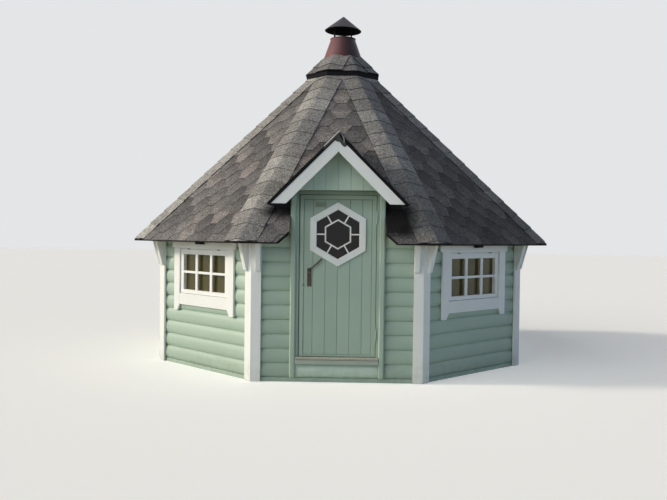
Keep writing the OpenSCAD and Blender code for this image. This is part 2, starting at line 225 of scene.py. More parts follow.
def under_roof(gap=0.0):
    """Plane of the roof's underside over the front side."""
    return plane((0, -EAVE_A, under_z(EAVE_A) - gap), SLOPE_NORMAL)


def on_roof(gap):
    """Plane that leaves what lies over the front slope, with a small gap."""
    return plane((0, -EAVE_A, EAVE_Z + gap), -SLOPE_NORMAL)


def roof_zones(side, setback=0.0):
    """Cuts for each part of a side's roof. The front side has a notch and an open bay."""
    if side:
        return [between(RING_A, EAVE_A - setback)]
    shoulder, inner = 1.984, 0.431
    back, ridge = roof_at(BARGE_OUT - inner), roof_at(BARGE_OUT - 0.02)
    zones = []
    for s in (-1, 1):
        slant = Vector((-s * (EAVE_A - NOTCH_A), NOTCH_HALF - NOTCH_FOOT, 0)).normalized()
        inside = Vector((-s * (back - ridge), -inner, 0)).normalized()
        corner, inwards = Vector((s * NOTCH_HALF, -NOTCH_A, 0)), Vector((-s, 0, 0))
        side_cut = corner + Vector((s * setback, 0, 0)), inwards
        zones += [
            between(NOTCH_A, EAVE_A - setback) + [(corner - setback * slant, slant), side_cut],
            between(shoulder, NOTCH_A) + [side_cut],
            between(back, shoulder) + [plane((s * inner, 0, 0), inwards)],
            between(RING_A, back) + [plane((0, 0, 0), inwards), plane((0, -ridge, 0), inside)],
        ]
    return zones


# ---------------------------------------------------------------- solids


def clip(bm, planes):
    """Cuts away what lies on each plane's side and closes the cuts."""
    for point, normal in planes:
        everything = bm.verts[:] + bm.edges[:] + bm.faces[:]
        cut = bmesh.ops.bisect_plane(
            bm, geom=everything, dist=1e-6, plane_co=point, plane_no=normal, clear_outer=True
        )["geom_cut"]
        edges = [e for e in cut if isinstance(e, bmesh.types.BMEdge) and e.is_boundary]
        if edges:
            bmesh.ops.holes_fill(bm, edges=edges)
    return bm


def lying(test):
    """A test for edges: whether both ends lie where a test for places says."""
    return lambda e: all(test(v.co) for v in e.verts)


def sharper(angle):
    """A test for edges: whether their two faces meet at more than this angle."""
    return lambda e: len(e.link_faces) == 2 and e.calc_face_angle() > angle


def ease(bm, width, segments=2, picked=sharper(0.5)):
    """Rounds the edges that a test picks, which are the sharp ones where nothing is said."""
    bmesh.ops.bevel(
        bm, geom=[e for e in bm.edges if picked(e)], offset=width, segments=segments,
        profile=0.5, affect="EDGES", clamp_overlap=True,
    )
    return bm


def prism(outline, low, high):
    """A closed solid with the outline in X and Y, from z = low to z = high."""
    bm = bmesh.new()
    base = bm.faces.new([bm.verts.new((x, y, low)) for x, y in outline])
    top = bmesh.ops.extrude_face_region(bm, geom=[base])["geom"]
    lifted = [v for v in top if isinstance(v, bmesh.types.BMVert)]
    bmesh.ops.translate(bm, verts=lifted, vec=(0, 0, high - low))
    bmesh.ops.recalc_face_normals(bm, faces=bm.faces[:])
    return bm


def block(x0, x1, y0, y1, z0, z1):
    """A closed box between the given planes."""
    return prism([(x0, y0), (x1, y0), (x1, y1), (x0, y1)], z0, z1)


def lofted(loops, around=False):
    """A closed solid through loops of points, with its ends capped, or joined where it runs
    around. A loop may be a single point."""
    bm = bmesh.new()
    loops = [[bm.verts.new(point) for point in loop] for loop in loops]
    count = max(map(len, loops))
    for a, b in zip(loops, loops[1:] + loops[:1] if around else loops[1:]):
        for i in range(count):
            j = (i + 1) % count
            corners = a[i % len(a)], a[j % len(a)], b[j % len(b)], b[i % len(b)]
            unique = list(dict.fromkeys(corners))
            if len(unique) > 2:
                bm.faces.new(unique)
    if not around:
        bm.faces.new(loops[0][::-1])
        bm.faces.new(loops[-1])
    bmesh.ops.recalc_face_normals(bm, faces=bm.faces[:])
    return bm


def lathe(profile, segments=96):
    """A closed solid of revolution from points of radius and height, in order round it."""
    turns = [2 * math.pi * i / segments for i in range(segments)]
    return lofted(
        [
            [(r * math.cos(t), r * math.sin(t), z) for t in (turns if r > 1e-6 else [0])]
            for r, z in profile
        ],
        around=True,
    )


def sheet(point, across, rows, finish=lambda i, j: 0, rim=0):
    """A closed shell between an upper and a lower grid. point(x, y, under) places a grid's
    point, and finish gives a face's material by its place in the grid."""
    bm = bmesh.new()
    grids = [
        [[bm.verts.new(point(x, y, under)) for x in across] for y in rows] for under in (0, 1)
    ]
    for grid in grids:
        for j, (low, high) in enumerate(zip(grid, grid[1:])):
            for i in range(len(across) - 1):
                face = bm.faces.new((low[i], low[i + 1], high[i + 1], high[i]))
                face.material_index = finish(i, j)
    rims = [
        g[0] + [row[-1] for row in g[1:-1]] + g[-1][::-1] + [row[0] for row in g[-2:0:-1]]
        for g in grids
    ]
    for i in range(len(rims[0])):
        j = (i + 1) % len(rims[0])
        bm.faces.new((rims[0][i], rims[1][i], rims[1][j], rims[0][j])).material_index = rim
    bmesh.ops.recalc_face_normals(bm, faces=bm.faces[:])
    return bm


def rod(segments, foot, top, long, place):
    """A round rod or a slightly tapered boss."""
    bm = bmesh.new()
    bmesh.ops.create_cone(
        bm, cap_ends=True, segments=segments, radius1=foot, radius2=top, depth=long, matrix=place
    )
    return bm


def mesh_of(bm, name="tile", materials=()):
    """A mesh of a solid, which is used up."""
    mesh = bpy.data.meshes.new(name)
    bm.to_mesh(mesh)
    bm.free()
    for material in materials:
        mesh.materials.append(material)
    return mesh


def zoned(mesh, place, cuts=(), zones=((),), turned=Matrix()):
    """A mesh set on the front side, cut to each zone and turned to its own side."""
    pieces = []
    for zone in zones:
        part = bmesh.new()
        part.from_mesh(mesh)
        part.transform(place)
        clip(part, [*cuts, *zone]).transform(turned)
        pieces.append(mesh_of(part, "zone", mesh.materials))
    return joined(pieces, "zoned", True)


def joined(meshes, name, recalculated=False):
    """Several meshes with the same materials as one."""
    bm = bmesh.new()
    for mesh in meshes:
        bm.from_mesh(mesh)
    if recalculated:
        bmesh.ops.recalc_face_normals(bm, faces=bm.faces[:])
    return mesh_of(bm, name, meshes[0].materials)


class Pile:
    """Solids gathered for one piece, with each solid's tone and grain kept as attributes."""

    def __init__(self, name, seed, *finishes):
        self.name, self.finishes, self.random = name, finishes, random.Random(seed)
        self.verts, self.faces, self.finish, self.tones, self.grains = [], [], [], [], []

    def add(self, bm, place=Matrix(), turned=False, tone=None, finish=None, cuts=(), soft=0.0):
        """Puts a solid in place, with soft edges of this width. The grain runs along its own
        X, or Y where it is turned."""
        if soft:
            ease(bm, soft)
        tone = self.random.random() if tone is None else tone
        moved = Vector([self.random.uniform(-9, 9) for _ in range(3)])
        grain = bm.verts.layers.float_vector.new("grain")
        for v in bm.verts:
            v[grain] = (v.co.yxz if turned else v.co) + moved
        bm.transform(place)
        clip(bm, cuts)
        base = len(self.verts)
        bm.verts.index_update()
        for v in bm.verts:
            self.verts.append(v.co.copy())
            self.grains.extend(v[grain])
            self.tones.append(tone)
        for f in bm.faces:
            self.faces.append([base + v.index for v in f.verts])
            self.finish.append(f.material_index if finish is None else finish)
        bm.free()

    def show(self, slot, replaces=(), body="hut", side=0):
        """Makes one piece of the gathered solids, turned to its side, and parents it to its body.
        """
        mesh = bpy.data.meshes.new(self.name)
        mesh.from_pydata(self.verts, [], self.faces)
        mesh.attributes.new("tone", "FLOAT", "POINT").data.foreach_set("value", self.tones)
        grains = mesh.attributes.new("grain", "FLOAT_VECTOR", "POINT").data
        grains.foreach_set("vector", self.grains)
        mesh.polygons.foreach_set("material_index", self.finish)
        mesh.transform(turn(side))
        show(self.name, mesh, replaces, body, self.finishes)


def show(name, mesh, replaces=(), body="hut", finishes=()):
    """Makes a visible piece of a mesh that is already in place, and parents it to its body.
    Its normals follow the large faces, so that flat boards look flat up to their edges."""
    for finish in finishes:
        mesh.materials.append(bpy.data.materials[finish])
    mesh.shade_smooth()
    mesh.set_sharp_from_angle(angle=0.6)
    piece = bpy.data.objects.new(name, mesh)
    bpy.context.scene.collection.objects.link(piece)
    even = piece.modifiers.new("even", "WEIGHTED_NORMAL")
    even.keep_sharp = True
    shaded = evaluated(piece)
    piece.modifiers.remove(even)
    piece.data = shaded
    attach(piece, body)
    if replaces:
        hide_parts(*replaces)


def evaluated(piece):
    """A plain mesh of an object with its modifiers applied."""
    graph = bpy.context.evaluated_depsgraph_get()
    return bpy.data.meshes.new_from_object(
        piece.evaluated_get(graph), preserve_all_data_layers=True, depsgraph=graph
    )


def dress(finish, *nodes):
    """Gives CAD nodes that keep their shape a finish."""
    for node in nodes:
        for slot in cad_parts[node].material_slots:
            slot.material = bpy.data.materials[finish]


# ---------------------------------------------------------------- nodes

MATH, RANGE, MIX = "ShaderNodeMath", "ShaderNodeMapRange", "ShaderNodeMix"
AXES, JOIN, NOISE = "ShaderNodeSeparateXYZ", "ShaderNodeCombineXYZ", "ShaderNodeTexNoise"
RANDOM, SET_MATERIAL = "FunctionNodeRandomValue", "GeometryNodeSetMaterial"
OWN = "ShaderNodeAttribute"


def linear(code):
    """An sRGB hex colour as linear numbers with alpha."""
    parts = [int(code[i : i + 2], 16) / 255 for i in (1, 3, 5)]
    return (*[p / 12.92 if p <= 0.04045 else ((p + 0.055) / 1.055) ** 2.4 for p in parts], 1)


def fill(tree, node, inputs):
    """Sets a node's inputs, given by name or in their order, or links them to outputs."""
    for key, value in inputs.items() if isinstance(inputs, dict) else enumerate(inputs):
        if isinstance(value, bpy.types.NodeSocket):
            tree.links.new(value, node.inputs[key])
        else:
            node.inputs[key].default_value = value
    return node.outputs


def add(tree, kind, inputs=(), **settings):
    """Adds a node with its settings and inputs, and hands back its outputs. The inputs of a
    range are a number, two limits for it, and what the limits turn into, or else 0 and 1."""
    node = tree.nodes.new(kind)
    for key, value in settings.items():
        setattr(node, key, value)
    return fill(tree, node, inputs)


def product(tree, *ranges):
    """Numbers multiplied by each other, each spread over its range first."""
    made = 1.0
    for inputs in ranges:
        factor = add(tree, RANGE, inputs)[0]
        made = add(tree, MATH, (made, factor), operation="MULTIPLY")[0]
    return made


def layered(tree, colour, *layers):
    """A colour under others. Each comes with the range that gives its share."""
    for over, *inputs in layers:
        share = add(tree, RANGE, inputs)[0]
        colour = add(tree, MIX, {0: share, 6: colour, 7: over}, data_type="RGBA")[2]
    return colour


def material_tree(name):
    """The node tree of a new material."""
    material = bpy.data.materials.new(name)
    material.use_nodes = True
    return material.node_tree


def shaded(tree, looks, pattern, distance, strength=1.0):
    """Gives a material's shader its looks, and raises the surface by a pattern, whose full
    range stands for this many metres."""
    bump = {"Height": pattern, "Distance": distance, "Strength": strength}
    normal = add(tree, "ShaderNodeBump", bump)[0]
    fill(tree, tree.nodes["Principled BSDF"], {**looks, "Normal": normal})


# ---------------------------------------------------------------- materials


def place_of(tree):
    """A point's place: from left to right, from front to back and above the ground."""
    return add(tree, AXES, {"Vector": add(tree, "ShaderNodeTexCoord")["Object"]})


def wood_grain(tree, across):
    """Grain of a board: rings this many to the metre across it, drawn out 30 times along."""
    grain = add(tree, OWN, attribute_name="grain")["Vector"]
    stretch = {"Vector": grain, "Scale": (across / 30, across, across)}
    rings = {"Vector": add(tree, "ShaderNodeMapping", stretch)[0], "Scale": 1.0}
    return add(tree, NOISE, {**rings, "Detail": 5.0, "Roughness": 0.62})["Fac"]


def cloudy(tree, per_metre, detail=3.0):
    """Soft patches of a size given as how many fit in a metre."""
    place = add(tree, "ShaderNodeTexCoord")["Object"]
    return add(tree, NOISE, {"Vector": place, "Scale": per_metre, "Detail": detail})["Fac"]


def painted_wood(name, paint, grime, splash, dust_and_shade_top=None):
    """Planed softwood under satin paint: grain shows through as fine streaks along the board,
    boards differ a little, and rain splash leaves a green-grey film low down. Where a height is
    given, the wood darkens up to it, with dust that no rain washes off and with painted shade."""
    tree = material_tree(name)
    grain, z = wood_grain(tree, 90), place_of(tree)["Z"]
    tone = add(tree, OWN, attribute_name="tone")["Fac"]
    film = product(tree, (z, 0.30, 0.02), (cloudy(tree, 14, 6.0), 0.35, 0.7, 0.15, 1.0))
    colour = layered(
        tree, paint,
        (grime, tone, 0, 1, 0, 0.22),
        (grime, cloudy(tree, 1.7), 0.42, 0.75, 0, 0.3),
        (grime, grain, 0.55, 0.8, 0, 0.35),
        (splash, film, 0, 1, 0, 0.35),
    )
    # Painted shade with some dust: darker up to the given height, under the gable
    if dust_and_shade_top:
        dust_and_shade = linear("#56644a")
        colour = layered(tree, colour, (dust_and_shade, z, dust_and_shade_top - 0.21, dust_and_shade_top, 0, 0.7))
    rough = add(tree, RANGE, (grain, 0.2, 0.8, 0.42, 0.6))[0]
    shaded(tree, {"Base Color": colour, "Roughness": rough}, grain, 0.0012, 0.5)


def bare_wood(name, early, late, across, rough, distance):
    """Bare softwood: pale early wood between darker late-wood rings."""
    tree = material_tree(name)
    grain, tone = wood_grain(tree, across), add(tree, OWN, attribute_name="tone")["Fac"]
    rings = (late, grain, 0.35, 0.65), (late, tone, 0, 1, 0, 0.35)
    looks = {"Base Color": layered(tree, early, *rings), "Roughness": rough}
    shaded(tree, looks, grain, distance)


def granules(name, dark, mid, light):
    """Bitumen felt under crushed slate: granules of 2 mm drawn 3 mm wide so that they show,
    each tab from a lighter or darker batch, blotched where granules have worn off. The slopes
    to the left are painted lighter and those to the right darker, as painted light and shade,
    and a painted shadow darkens what lies under the dormer's eaves, further down on the right.
    A band of darker granules over the upper half of each hexagon makes the tab below it stand out."""
    tree = material_tree(name)
    place = add(tree, "ShaderNodeTexCoord")["Object"]
    grit = add(tree, "ShaderNodeTexVoronoi", {"Vector": place, "Scale": 1 / 0.003})
    speck = add(tree, "ShaderNodeSeparateColor", {"Color": grit["Color"]})[0]
    tone, band = [add(tree, OWN, attribute_name=key)["Fac"] for key in ("tone", "band")]
    x, y, z = place_of(tree)
    colour = layered(
        tree, dark,
        (mid, tone, 0.0, 0.6),
        (light, tone, 0.65, 1.1),
        (dark, cloudy(tree, 9), 0.40, 0.70, 0, 0.45),
    )
    shade = product(
        tree,
        (cloudy(tree, 85), 0.32, 0.68, 0.40, 1.60),
        (cloudy(tree, 34, 2.0), 0.32, 0.68, 0.75, 1.25),
        (speck, 0, 1, 0.6, 1.4),
        # Painted light and shade: lighter towards the left slopes, darker towards the right ones
        (x, -1.7, 1.7, *SIDE_LIGHT_AND_SHADE),
        (band, 0.75, 1.6, 1.06, 0.74),
    )
    fleck = add(tree, "ShaderNodeCombineColor", (shade, shade, shade))[0]
    worn = {0: 0.85, 6: colour, 7: fleck}
    colour = add(tree, MIX, worn, data_type="RGBA", blend_type="MULTIPLY")[2]
    # Painted shadow: the shingles under the dormer's eaves turn near-black, reaching further down
    # on the right
    foot = add(tree, RANGE, (x, -0.4, 0.4, 1.61, 1.43))[0]
    painted_shadow = product(
        tree,
        (add(tree, MATH, (z, foot), operation="SUBTRACT")[0], 0.0, 0.08),
        (z, 1.74, 1.82, 1.0, 0.0),
        (y, -1.92, -1.84, 1.0, 0.0),
        (add(tree, MATH, (x,), operation="ABSOLUTE")[0], 0.68, 0.82, 0.94, 0.0),
    )
    colour = layered(tree, colour, (linear("#161618"), painted_shadow, 0, 1))
    looks = {"Base Color": colour, "Roughness": 0.92, "Specular IOR Level": 0.12}
    shaded(tree, looks, grit["Distance"], 0.0012)


def coated_steel(name, coat, bare, rust_share, rough, gloss=0.5, painted_shade=None):
    """Sheet or forged steel under paint, rusting through in patches. Where a dark colour for
    painted shade is given, the right side darkens to it, and the left keeps the coat."""
    tree = material_tree(name)
    rust = cloudy(tree, 38, 7.0), 0.72 - rust_share, 0.86 - rust_share
    colour = layered(tree, coat, (bare, cloudy(tree, 6, 2.0), 0.3, 0.8, 0, 0.35))
    # Painted shade: the dark colour takes over towards the right side
    if painted_shade:
        colour = layered(tree, colour, (painted_shade, place_of(tree)["X"], -0.11, 0.09, 0, 0.95))
    looks = {
        "Base Color": layered(tree, colour, (bare, *rust)),
        "Roughness": add(tree, RANGE, (*rust, rough, 0.9))[0],
        "Specular IOR Level": gloss,
    }
    shaded(tree, looks, cloudy(tree, 160, 4.0), 0.0006)


def matte(name, colour, rough, per_metre, distance):
    """One plain stuff with a fine uneven surface, darker in its pits."""
    tree = material_tree(name)
    grit, pits = cloudy(tree, per_metre, 5.0), (*[0.6 * c for c in colour[:3]], 1)
    colour = layered(tree, pits, (colour, grit, 0.3, 0.7))
    looks = {"Base Color": colour, "Roughness": rough, "Specular IOR Level": 0.12}
    shaded(tree, looks, grit, distance)


def window_pane(name, tint, clear, cover, gloss):
    """Float glass under a film of dust: glossy, with a slight draw that bends its reflections.
    What its cover leaves is plain see-through, so that daylight reaches the wood inside."""
    tree = material_tree(name)
    looks = {
        "Base Color": tint, "Roughness": 0.02, "Transmission Weight": clear, "IOR": 1.45,
        "Specular IOR Level": gloss, "Alpha": cover,
    }
    shaded(tree, looks, cloudy(tree, 3.0, 1.0), 0.0015)


# ---------------------------------------------------------------- properties


def length(name, description, default):
    """A length that the panel shows."""
    return bpy.props.FloatProperty(
        name=name, description=description, default=default, unit="LENGTH", precision=4
    )


def paint(name, description, code):
    """A colour that the panel shows."""
    return bpy.props.FloatVectorProperty(
        name=name, description=description, default=linear(code), size=4, subtype="COLOR"
    )


class CabinSizes(bpy.types.PropertyGroup):
    """Sizes of what repeats on the cabin."""

    tab_pitch: length("Tab pitch", "Distance between two tabs of a shingle course", 0.348)
    tab_foot: length("Tab foot", "Width of a tab's straight lower edge", 0.101)
    tab_wide: length("Tab width", "Width of a tab where it meets its strip", 0.247)
    course: length("Course", "Distance between two courses of shingles", 0.1414)
    felt: length("Felt", "Thickness of a shingle", 0.0036)
    first_course: length("First course", "Up the slope from the eave to a course", -0.038)
    cap_course: length("Cap course", "Distance between two hip caps", 0.207)
    cap_half: length("Cap half", "Width of a hip cap's wing", 0.184)
    roof_board: length("Roof board", "Width of a roof board", 0.095)
    floor_board: length("Floor board", "Width of a floor board", 0.115)
    gable_board: length("Gable board", "Width of a board in the gable", 0.1245)
    door_board: length("Door board", "Width of a board in the door", 0.123)
    easing: length("Easing", "Width of the rounded edges of sawn boards", 0.002)


class CabinColours(bpy.types.PropertyGroup):
    """Colours of the cabin's finishes."""

    green: paint("Green", "Sage-green paint of the logs and the door", "#a9bcac")
    green_deep: paint("Green shade", "Green paint where it is thin or grimy", "#93a898")
    white: paint("White", "White paint of the trim", "#f1f2ef")
    white_deep: paint("White shade", "White paint where it is grimy", "#dadbd5")
    splash: paint("Splash", "Film that rain splash leaves low down", "#7d8372")
    slate_dark: paint("Dark slate", "Granules of the darkest tabs", "#5a5858")
    slate_mid: paint("Middle slate", "Granules of the middle tabs", "#73706f")
    slate_light: paint("Light slate", "Granules of the lightest tabs", "#8e8883")


# ---------------------------------------------------------------- geometry node trees

TILE_INPUTS = {
    "Tile": "Object", "Wander": "Float", "Seed": "Int", "Face": "Material", "Edge": "Material"
}


def tree_with_inputs(name, **kinds):
    """A geometry node tree with named inputs, its tiles' too, and one geometry output."""
    tree = bpy.data.node_groups.new(name, "GeometryNodeTree")
    for label, kind in {**kinds, **TILE_INPUTS}.items():
        tree.interface.new_socket(label, in_out="INPUT", socket_type="NodeSocket" + kind)
    tree.interface.new_socket("Geometry", in_out="OUTPUT", socket_type="NodeSocketGeometry")
    return tree, add(tree, "NodeGroupInput")


def tile_points(tree, points, given):
    """Puts the tile on the points with its own tone and a small turn, and gives it materials:
    one for what looks out of the slope, and one for its edges."""
    node = partial(add, tree)
    seeds = {"ID": node("GeometryNodeInputIndex")[0], "Seed": given["Seed"]}
    other_way = node(MATH, (given["Wander"], -1.0), operation="MULTIPLY")[0]
    angle = node(RANDOM, {**seeds, 2: other_way, 3: given["Wander"]}, data_type="FLOAT")[1]
    tile = node("GeometryNodeObjectInfo", {"Object": given["Tile"]})["Geometry"]
    at = {"Points": points, "Instance": tile, "Rotation": node(JOIN, {"Z": angle})[0]}
    tone = {"Name": "tone", "Value": node(RANDOM, seeds, data_type="FLOAT")[1]}
    toned = node(
        "GeometryNodeStoreNamedAttribute",
        {"Geometry": node("GeometryNodeInstanceOnPoints", at)[0], **tone},
        data_type="FLOAT", domain="INSTANCE",
    )[0]
    real = node("GeometryNodeRealizeInstances", {"Geometry": toned})[0]
    faced = node(SET_MATERIAL, {"Geometry": real, "Material": given["Face"]})[0]
    out = node(AXES, {"Vector": node("GeometryNodeInputNormal")[0]})["Z"]
    side = node("FunctionNodeCompare", {0: out, 1: 0.5}, data_type="FLOAT", operation="LESS_THAN")
    edge = {"Geometry": faced, "Selection": side[0], "Material": given["Edge"]}
    node("NodeGroupOutput", {"Geometry": node(SET_MATERIAL, edge)[0]})
    return tree


def course_tree():
    """Tiles in courses up a slope, every other course half a tile along."""
    tree, given = tree_with_inputs(
        "Shingle courses", Columns="Int", Rows="Int", Pitch="Float", Course="Float",
        First="Float", Odd="Float",
    )

    node, size = partial(add, tree), {}
    for axis, count, gap in (("X", "Columns", "Pitch"), ("Y", "Rows", "Course")):
        gaps = node(MATH, (given[count], 1.0), operation="SUBTRACT")[0]
        size["Size " + axis] = node(MATH, (gaps, given[gap]), operation="MULTIPLY")[0]
        size["Vertices " + axis] = given[count]
    grid = node("GeometryNodeMeshGrid", size)["Mesh"]
    up = node(AXES, {"Vector": node("GeometryNodeInputPosition")[0]})["Y"]
    middle = node(MATH, (size["Size Y"], 0.5), operation="MULTIPLY")[0]
    climbed = node(MATH, (up, middle), operation="ADD")[0]
    courses = node(MATH, (climbed, given["Course"]), operation="DIVIDE")[0]
    row = node(MATH, (courses,), operation="ROUND")[0]
    counted = node(MATH, (row, given["Odd"]), operation="ADD")[0]
    odd = node(MATH, (counted, 2.0), operation="MODULO")[0]
    half = node(MATH, (given["Pitch"], 0.5), operation="MULTIPLY")[0]
    along = node(MATH, (odd, half), operation="MULTIPLY")[0]
    lift = node(MATH, (given["First"], middle), operation="ADD")[0]
    offset = node(JOIN, {"X": along, "Y": lift})[0]
    moved = add(tree, "GeometryNodeSetPosition", {"Geometry": grid, "Offset": offset})[0]
    return tile_points(tree, moved, given)


def row_tree():
    """Tiles in one line up their own Y axis."""
    tree, given = tree_with_inputs("Row of boards", Count="Int", Spacing="Float", First="Float")
    line = {"Count": given["Count"]}
    for name, value in (("Start Location", "First"), ("Offset", "Spacing")):
        line[name] = add(tree, JOIN, {"Y": given[value]})[0]
    return tile_points(tree, add(tree, "GeometryNodeMeshLine", line)[0], given)


def grown(tree, tile, face, edge, **values):
    """The solids that a tree makes of a tile mesh with these inputs, with their finishes."""
    pair = [
        bpy.data.objects.new("tile", tile),
        bpy.data.objects.new("holder", bpy.data.meshes.new("holder")),
    ]
    for made in pair:
        bpy.context.scene.collection.objects.link(made)
    modifier = pair[1].modifiers.new("grow", "NODES")
    modifier.node_group = tree
    values["Tile"] = pair[0]
    values["Face"], values["Edge"] = bpy.data.materials[face], bpy.data.materials[edge]
    for item in tree.interface.items_tree:
        if item.name in values:
            modifier[item.identifier] = values[item.name]
    mesh = evaluated(pair[1])
    pair[1].modifiers.remove(modifier)
    for made in pair:
        bpy.data.objects.remove(made)
    return mesh


# ---------------------------------------------------------------- walls and roof


class CABIN_OT_finishes(bpy.types.Operator):
    """Makes the finish of every piece"""

    bl_idname = "cabin.finishes"
    bl_label = "Finishes"

    def execute(self, context):
        c = context.scene.cabin_colours
        for make, name, *looks in (
            (painted_wood, GREEN, c.green, c.green_deep, c.splash),
            # Darker up to 1.90 m under the gable: dust and painted shade
            (painted_wood, DUSTY_SHADED, c.green, c.green_deep, c.splash, 1.90),
            # Lighter green on the gable and the doorstep: painted light
            (painted_wood, LIT_GREEN, "#cde0d1", "#b6c9b9", c.splash),
            (painted_wood, WHITE, c.white, c.white_deep, c.splash),
            (painted_wood, "ivory paint on the thin bars", "#f5f3eb", c.white_deep, c.splash),
            (painted_wood, "thin paint on the threshold", "#aeb6ab", "#98a192", c.splash),
            (granules, SLATE, c.slate_dark, c.slate_mid, c.slate_light),
            (granules, HIP_SLATE, "#7b7976", "#918f8b", "#a6a4a0"),
            (granules, CAP_SLATE, "#656362", "#797775", "#8b8986"),
            (matte, FELT, "#1d1c1e", 0.85, 300, 0.0006),
            (matte, "weathered bitumen felt", "#565655", 0.85, 120, 0.0012),
            # Pale felt along the front cap's rolled bend: a painted highlight
            (matte, "bleached rolled felt edge", "#d6d2cf", 0.8, 160, 0.0006),
            (matte, "creased bitumen felt", "#9a9d93", 0.8, 120, 0.0010),
            (matte, "soot inside the hat", "#141312", 0.95, 200, 0.0004),
            (matte, "black moulded plastic", "#19191a", 0.6, 400, 0.0002),
            (bare_wood, SPRUCE, "#c79a63", "#a5743f", 45, 0.55, 0.0004),
            # Near-black boards under the dormer: painted shade
            (bare_wood, SHADED_SPRUCE, "#2c2a26", "#1d1b19", 45, 0.8, 0.0004),
            (bare_wood, PINE, "#c8a372", "#9d7343", 40, 0.45, 0.0004),
            (bare_wood, "sawn treated timber", "#6c6857", "#45443a", 60, 0.85, 0.0012),
            (bare_wood, "weathered oak threshold", "#b9b8ac", "#9b9a8b", 70, 0.8, 0.0014),
            # A worn nose, painted paler still as the highlight along the threshold
            (bare_wood, "bleached threshold edge", "#cfcec3", "#aeaba0", 70, 0.8, 0.0010),
            # The cone turns dark navy on its right side: painted shade
            (coated_steel, "red-brown coated chimney sheet", "#744a4b", "#4f3537", 0.02, 0.36,
             0.2, "#211b26"),
            (coated_steel, "dark coated hat sheet", "#332e36", "#262224", 0.02, 0.5, 0.3),
            (coated_steel, "rusty brown door plate", "#33281b", "#5c3b27", 0.16, 0.6),
            (coated_steel, "dark forged lever", "#4a4134", "#644831", 0.14, 0.5),
            # Hinges painted lighter than their green: a painted highlight for the light they catch
            (coated_steel, "green painted hinge steel", "#b9c4b8", "#5d5e52", 0.04, 0.35),
            (coated_steel, "dull green painted plate", "#7d8b7b", "#5b6256", 0.02, 0.5),
            (coated_steel, ZINC, "#8d8c88", "#6b5a4a", 0.1, 0.4),
            # The panes' olive tint stands in for the green reflected in them and seen through them:
            # painted reflection over a film of dust
            (window_pane, "dusty float glass", "#6a6335", 0.50, 0.90, 0.4),
            (window_pane, "dark float glass of the door", "#201413", 0.85, 0.96, 0.22),
        ):
            make(name, *[linear(look) if isinstance(look, str) else look for look in looks])
        return {"FINISHED"}


def log_section(z0, steps=22, eased=0.004):
    """Points of one log's section, as distance from the centre and height: from inside low
    down, round its weathered face and back along the top."""
    bulge, half, top = CROWN_A - WALL_A, LOG_H / 2, z0 + LOG_H
    points = [(INNER_A + eased, z0), (WALL_A, z0)]
    for i in range(1, steps):
        across = -math.cos(math.pi * i / steps)
        out = (1 - abs(across) ** LOG_FULL) ** LOG_EDGE
        points.append((WALL_A + bulge * out, z0 + half * (1 + across)))
    points += [(WALL_A, top), (INNER_A + eased, top), (INNER_A, top - eased)]
    return points + [(INNER_A, z0 + eased)]


def log_solid(x0, x1, index, stations=13):
    """One log between two distances along the wall, a little uneven along its length."""
    loops = []
    for i in range(stations):
        x = x0 + (x1 - x0) * i / (stations - 1)
        loops.append([])
        for a, z in log_section(BASE_H + index * LOG_H):
            wave = 0.0012 * noise.noise(Vector((x * 1.3, z * 5, index * 3.7)))
            loops[-1].append((x, -(a + wave if a > WALL_A + 0.001 else a), z))
    bm = lofted(loops)
    for f in bm.faces:
        f.material_index = int(f.calc_center_median().y > -WALL_A + 0.002)
    return bm


class CABIN_OT_log_walls(bpy.types.Operator):
    """Lays each wall log by log, and cuts the top ones to the roof"""

    bl_idname = "cabin.log_walls"
    bl_label = "Log walls"

    def execute(self, context):
        full = CROWN_A * TAN
        cuts = [*hip_cuts(0.0003), under_roof(0.0002)]
        for k, side in enumerate(SIDES):
            walls = {"wall_" + side: (-full, full)}
            if k == 0:
                walls = {
                    "front_wall_left": (-full, -BAY_HALF), "front_wall_right": (BAY_HALF, full)
                }
            for name, (x0, x1) in walls.items():
                pile = Pile(name + "_logs", 10 + k, GREEN, SPRUCE)
                for i in range(LOG_COUNT):
                    z0, z1 = BASE_H + i * LOG_H, BASE_H + (i + 1) * LOG_H
                    beside = k in WINDOW_SIDES and z1 > SASH_Z0 and z0 < SASH_Z1
                    tone = pile.random.random()
                    for a, b in [(x0, -SASH_HALF), (SASH_HALF, x1)] if beside else [(x0, x1)]:
                        pile.add(log_solid(a, b, i), tone=tone, cuts=cuts)
                    for low, high in ((z0, SASH_Z0), (SASH_Z1, z1)):
                        if beside and z0 <= low < high - 0.002 and high <= z1:
                            over = log_solid(-SASH_HALF, SASH_HALF, i)
                            pile.add(over, tone=tone, cuts=[below(low), above(high)])
                pile.show("green_paint", [name], side=k)
        # The doorstep's log is fuller than the wall's, up to the posts on either side of it
        step = Pile("doorstep", 30, LIT_GREEN, SPRUCE)
        log = log_solid(-BAY_HALF, BAY_HALF, 0)
        for v in log.verts:
            if abs(v.co.x) < BAY_HALF - 0.05 and -v.co.y > WALL_A:
                v.co.y = -WALL_A + STEP_FULL * (v.co.y + WALL_A)
        step.add(log)
        step.show("green_paint", ["doorstep_log"])
        return {"FINISHED"}


def notch_runs():
    """Free edges of the front side's roof: its eave and its notch at either side of the bay,
    each between two points given as distance along the wall and from the centre."""
    back = (EDGE_FOOT - EDGE_H) / RISE
    slant = (NOTCH_FOOT - NOTCH_HALF) / (EAVE_A - NOTCH_A)
    runs = []
    for s in (-1, 1):
        points = [
            (s * ALONG, EAVE_A), (s * NOTCH_FOOT, EAVE_A),
            (s * (NOTCH_FOOT - back * slant), EAVE_A - back), (s * NOTCH_HALF, NOTCH_A),
            (s * NOTCH_HALF, PILASTER_A - 0.02),
        ]
        runs += zip(points, points[1:])
    return runs


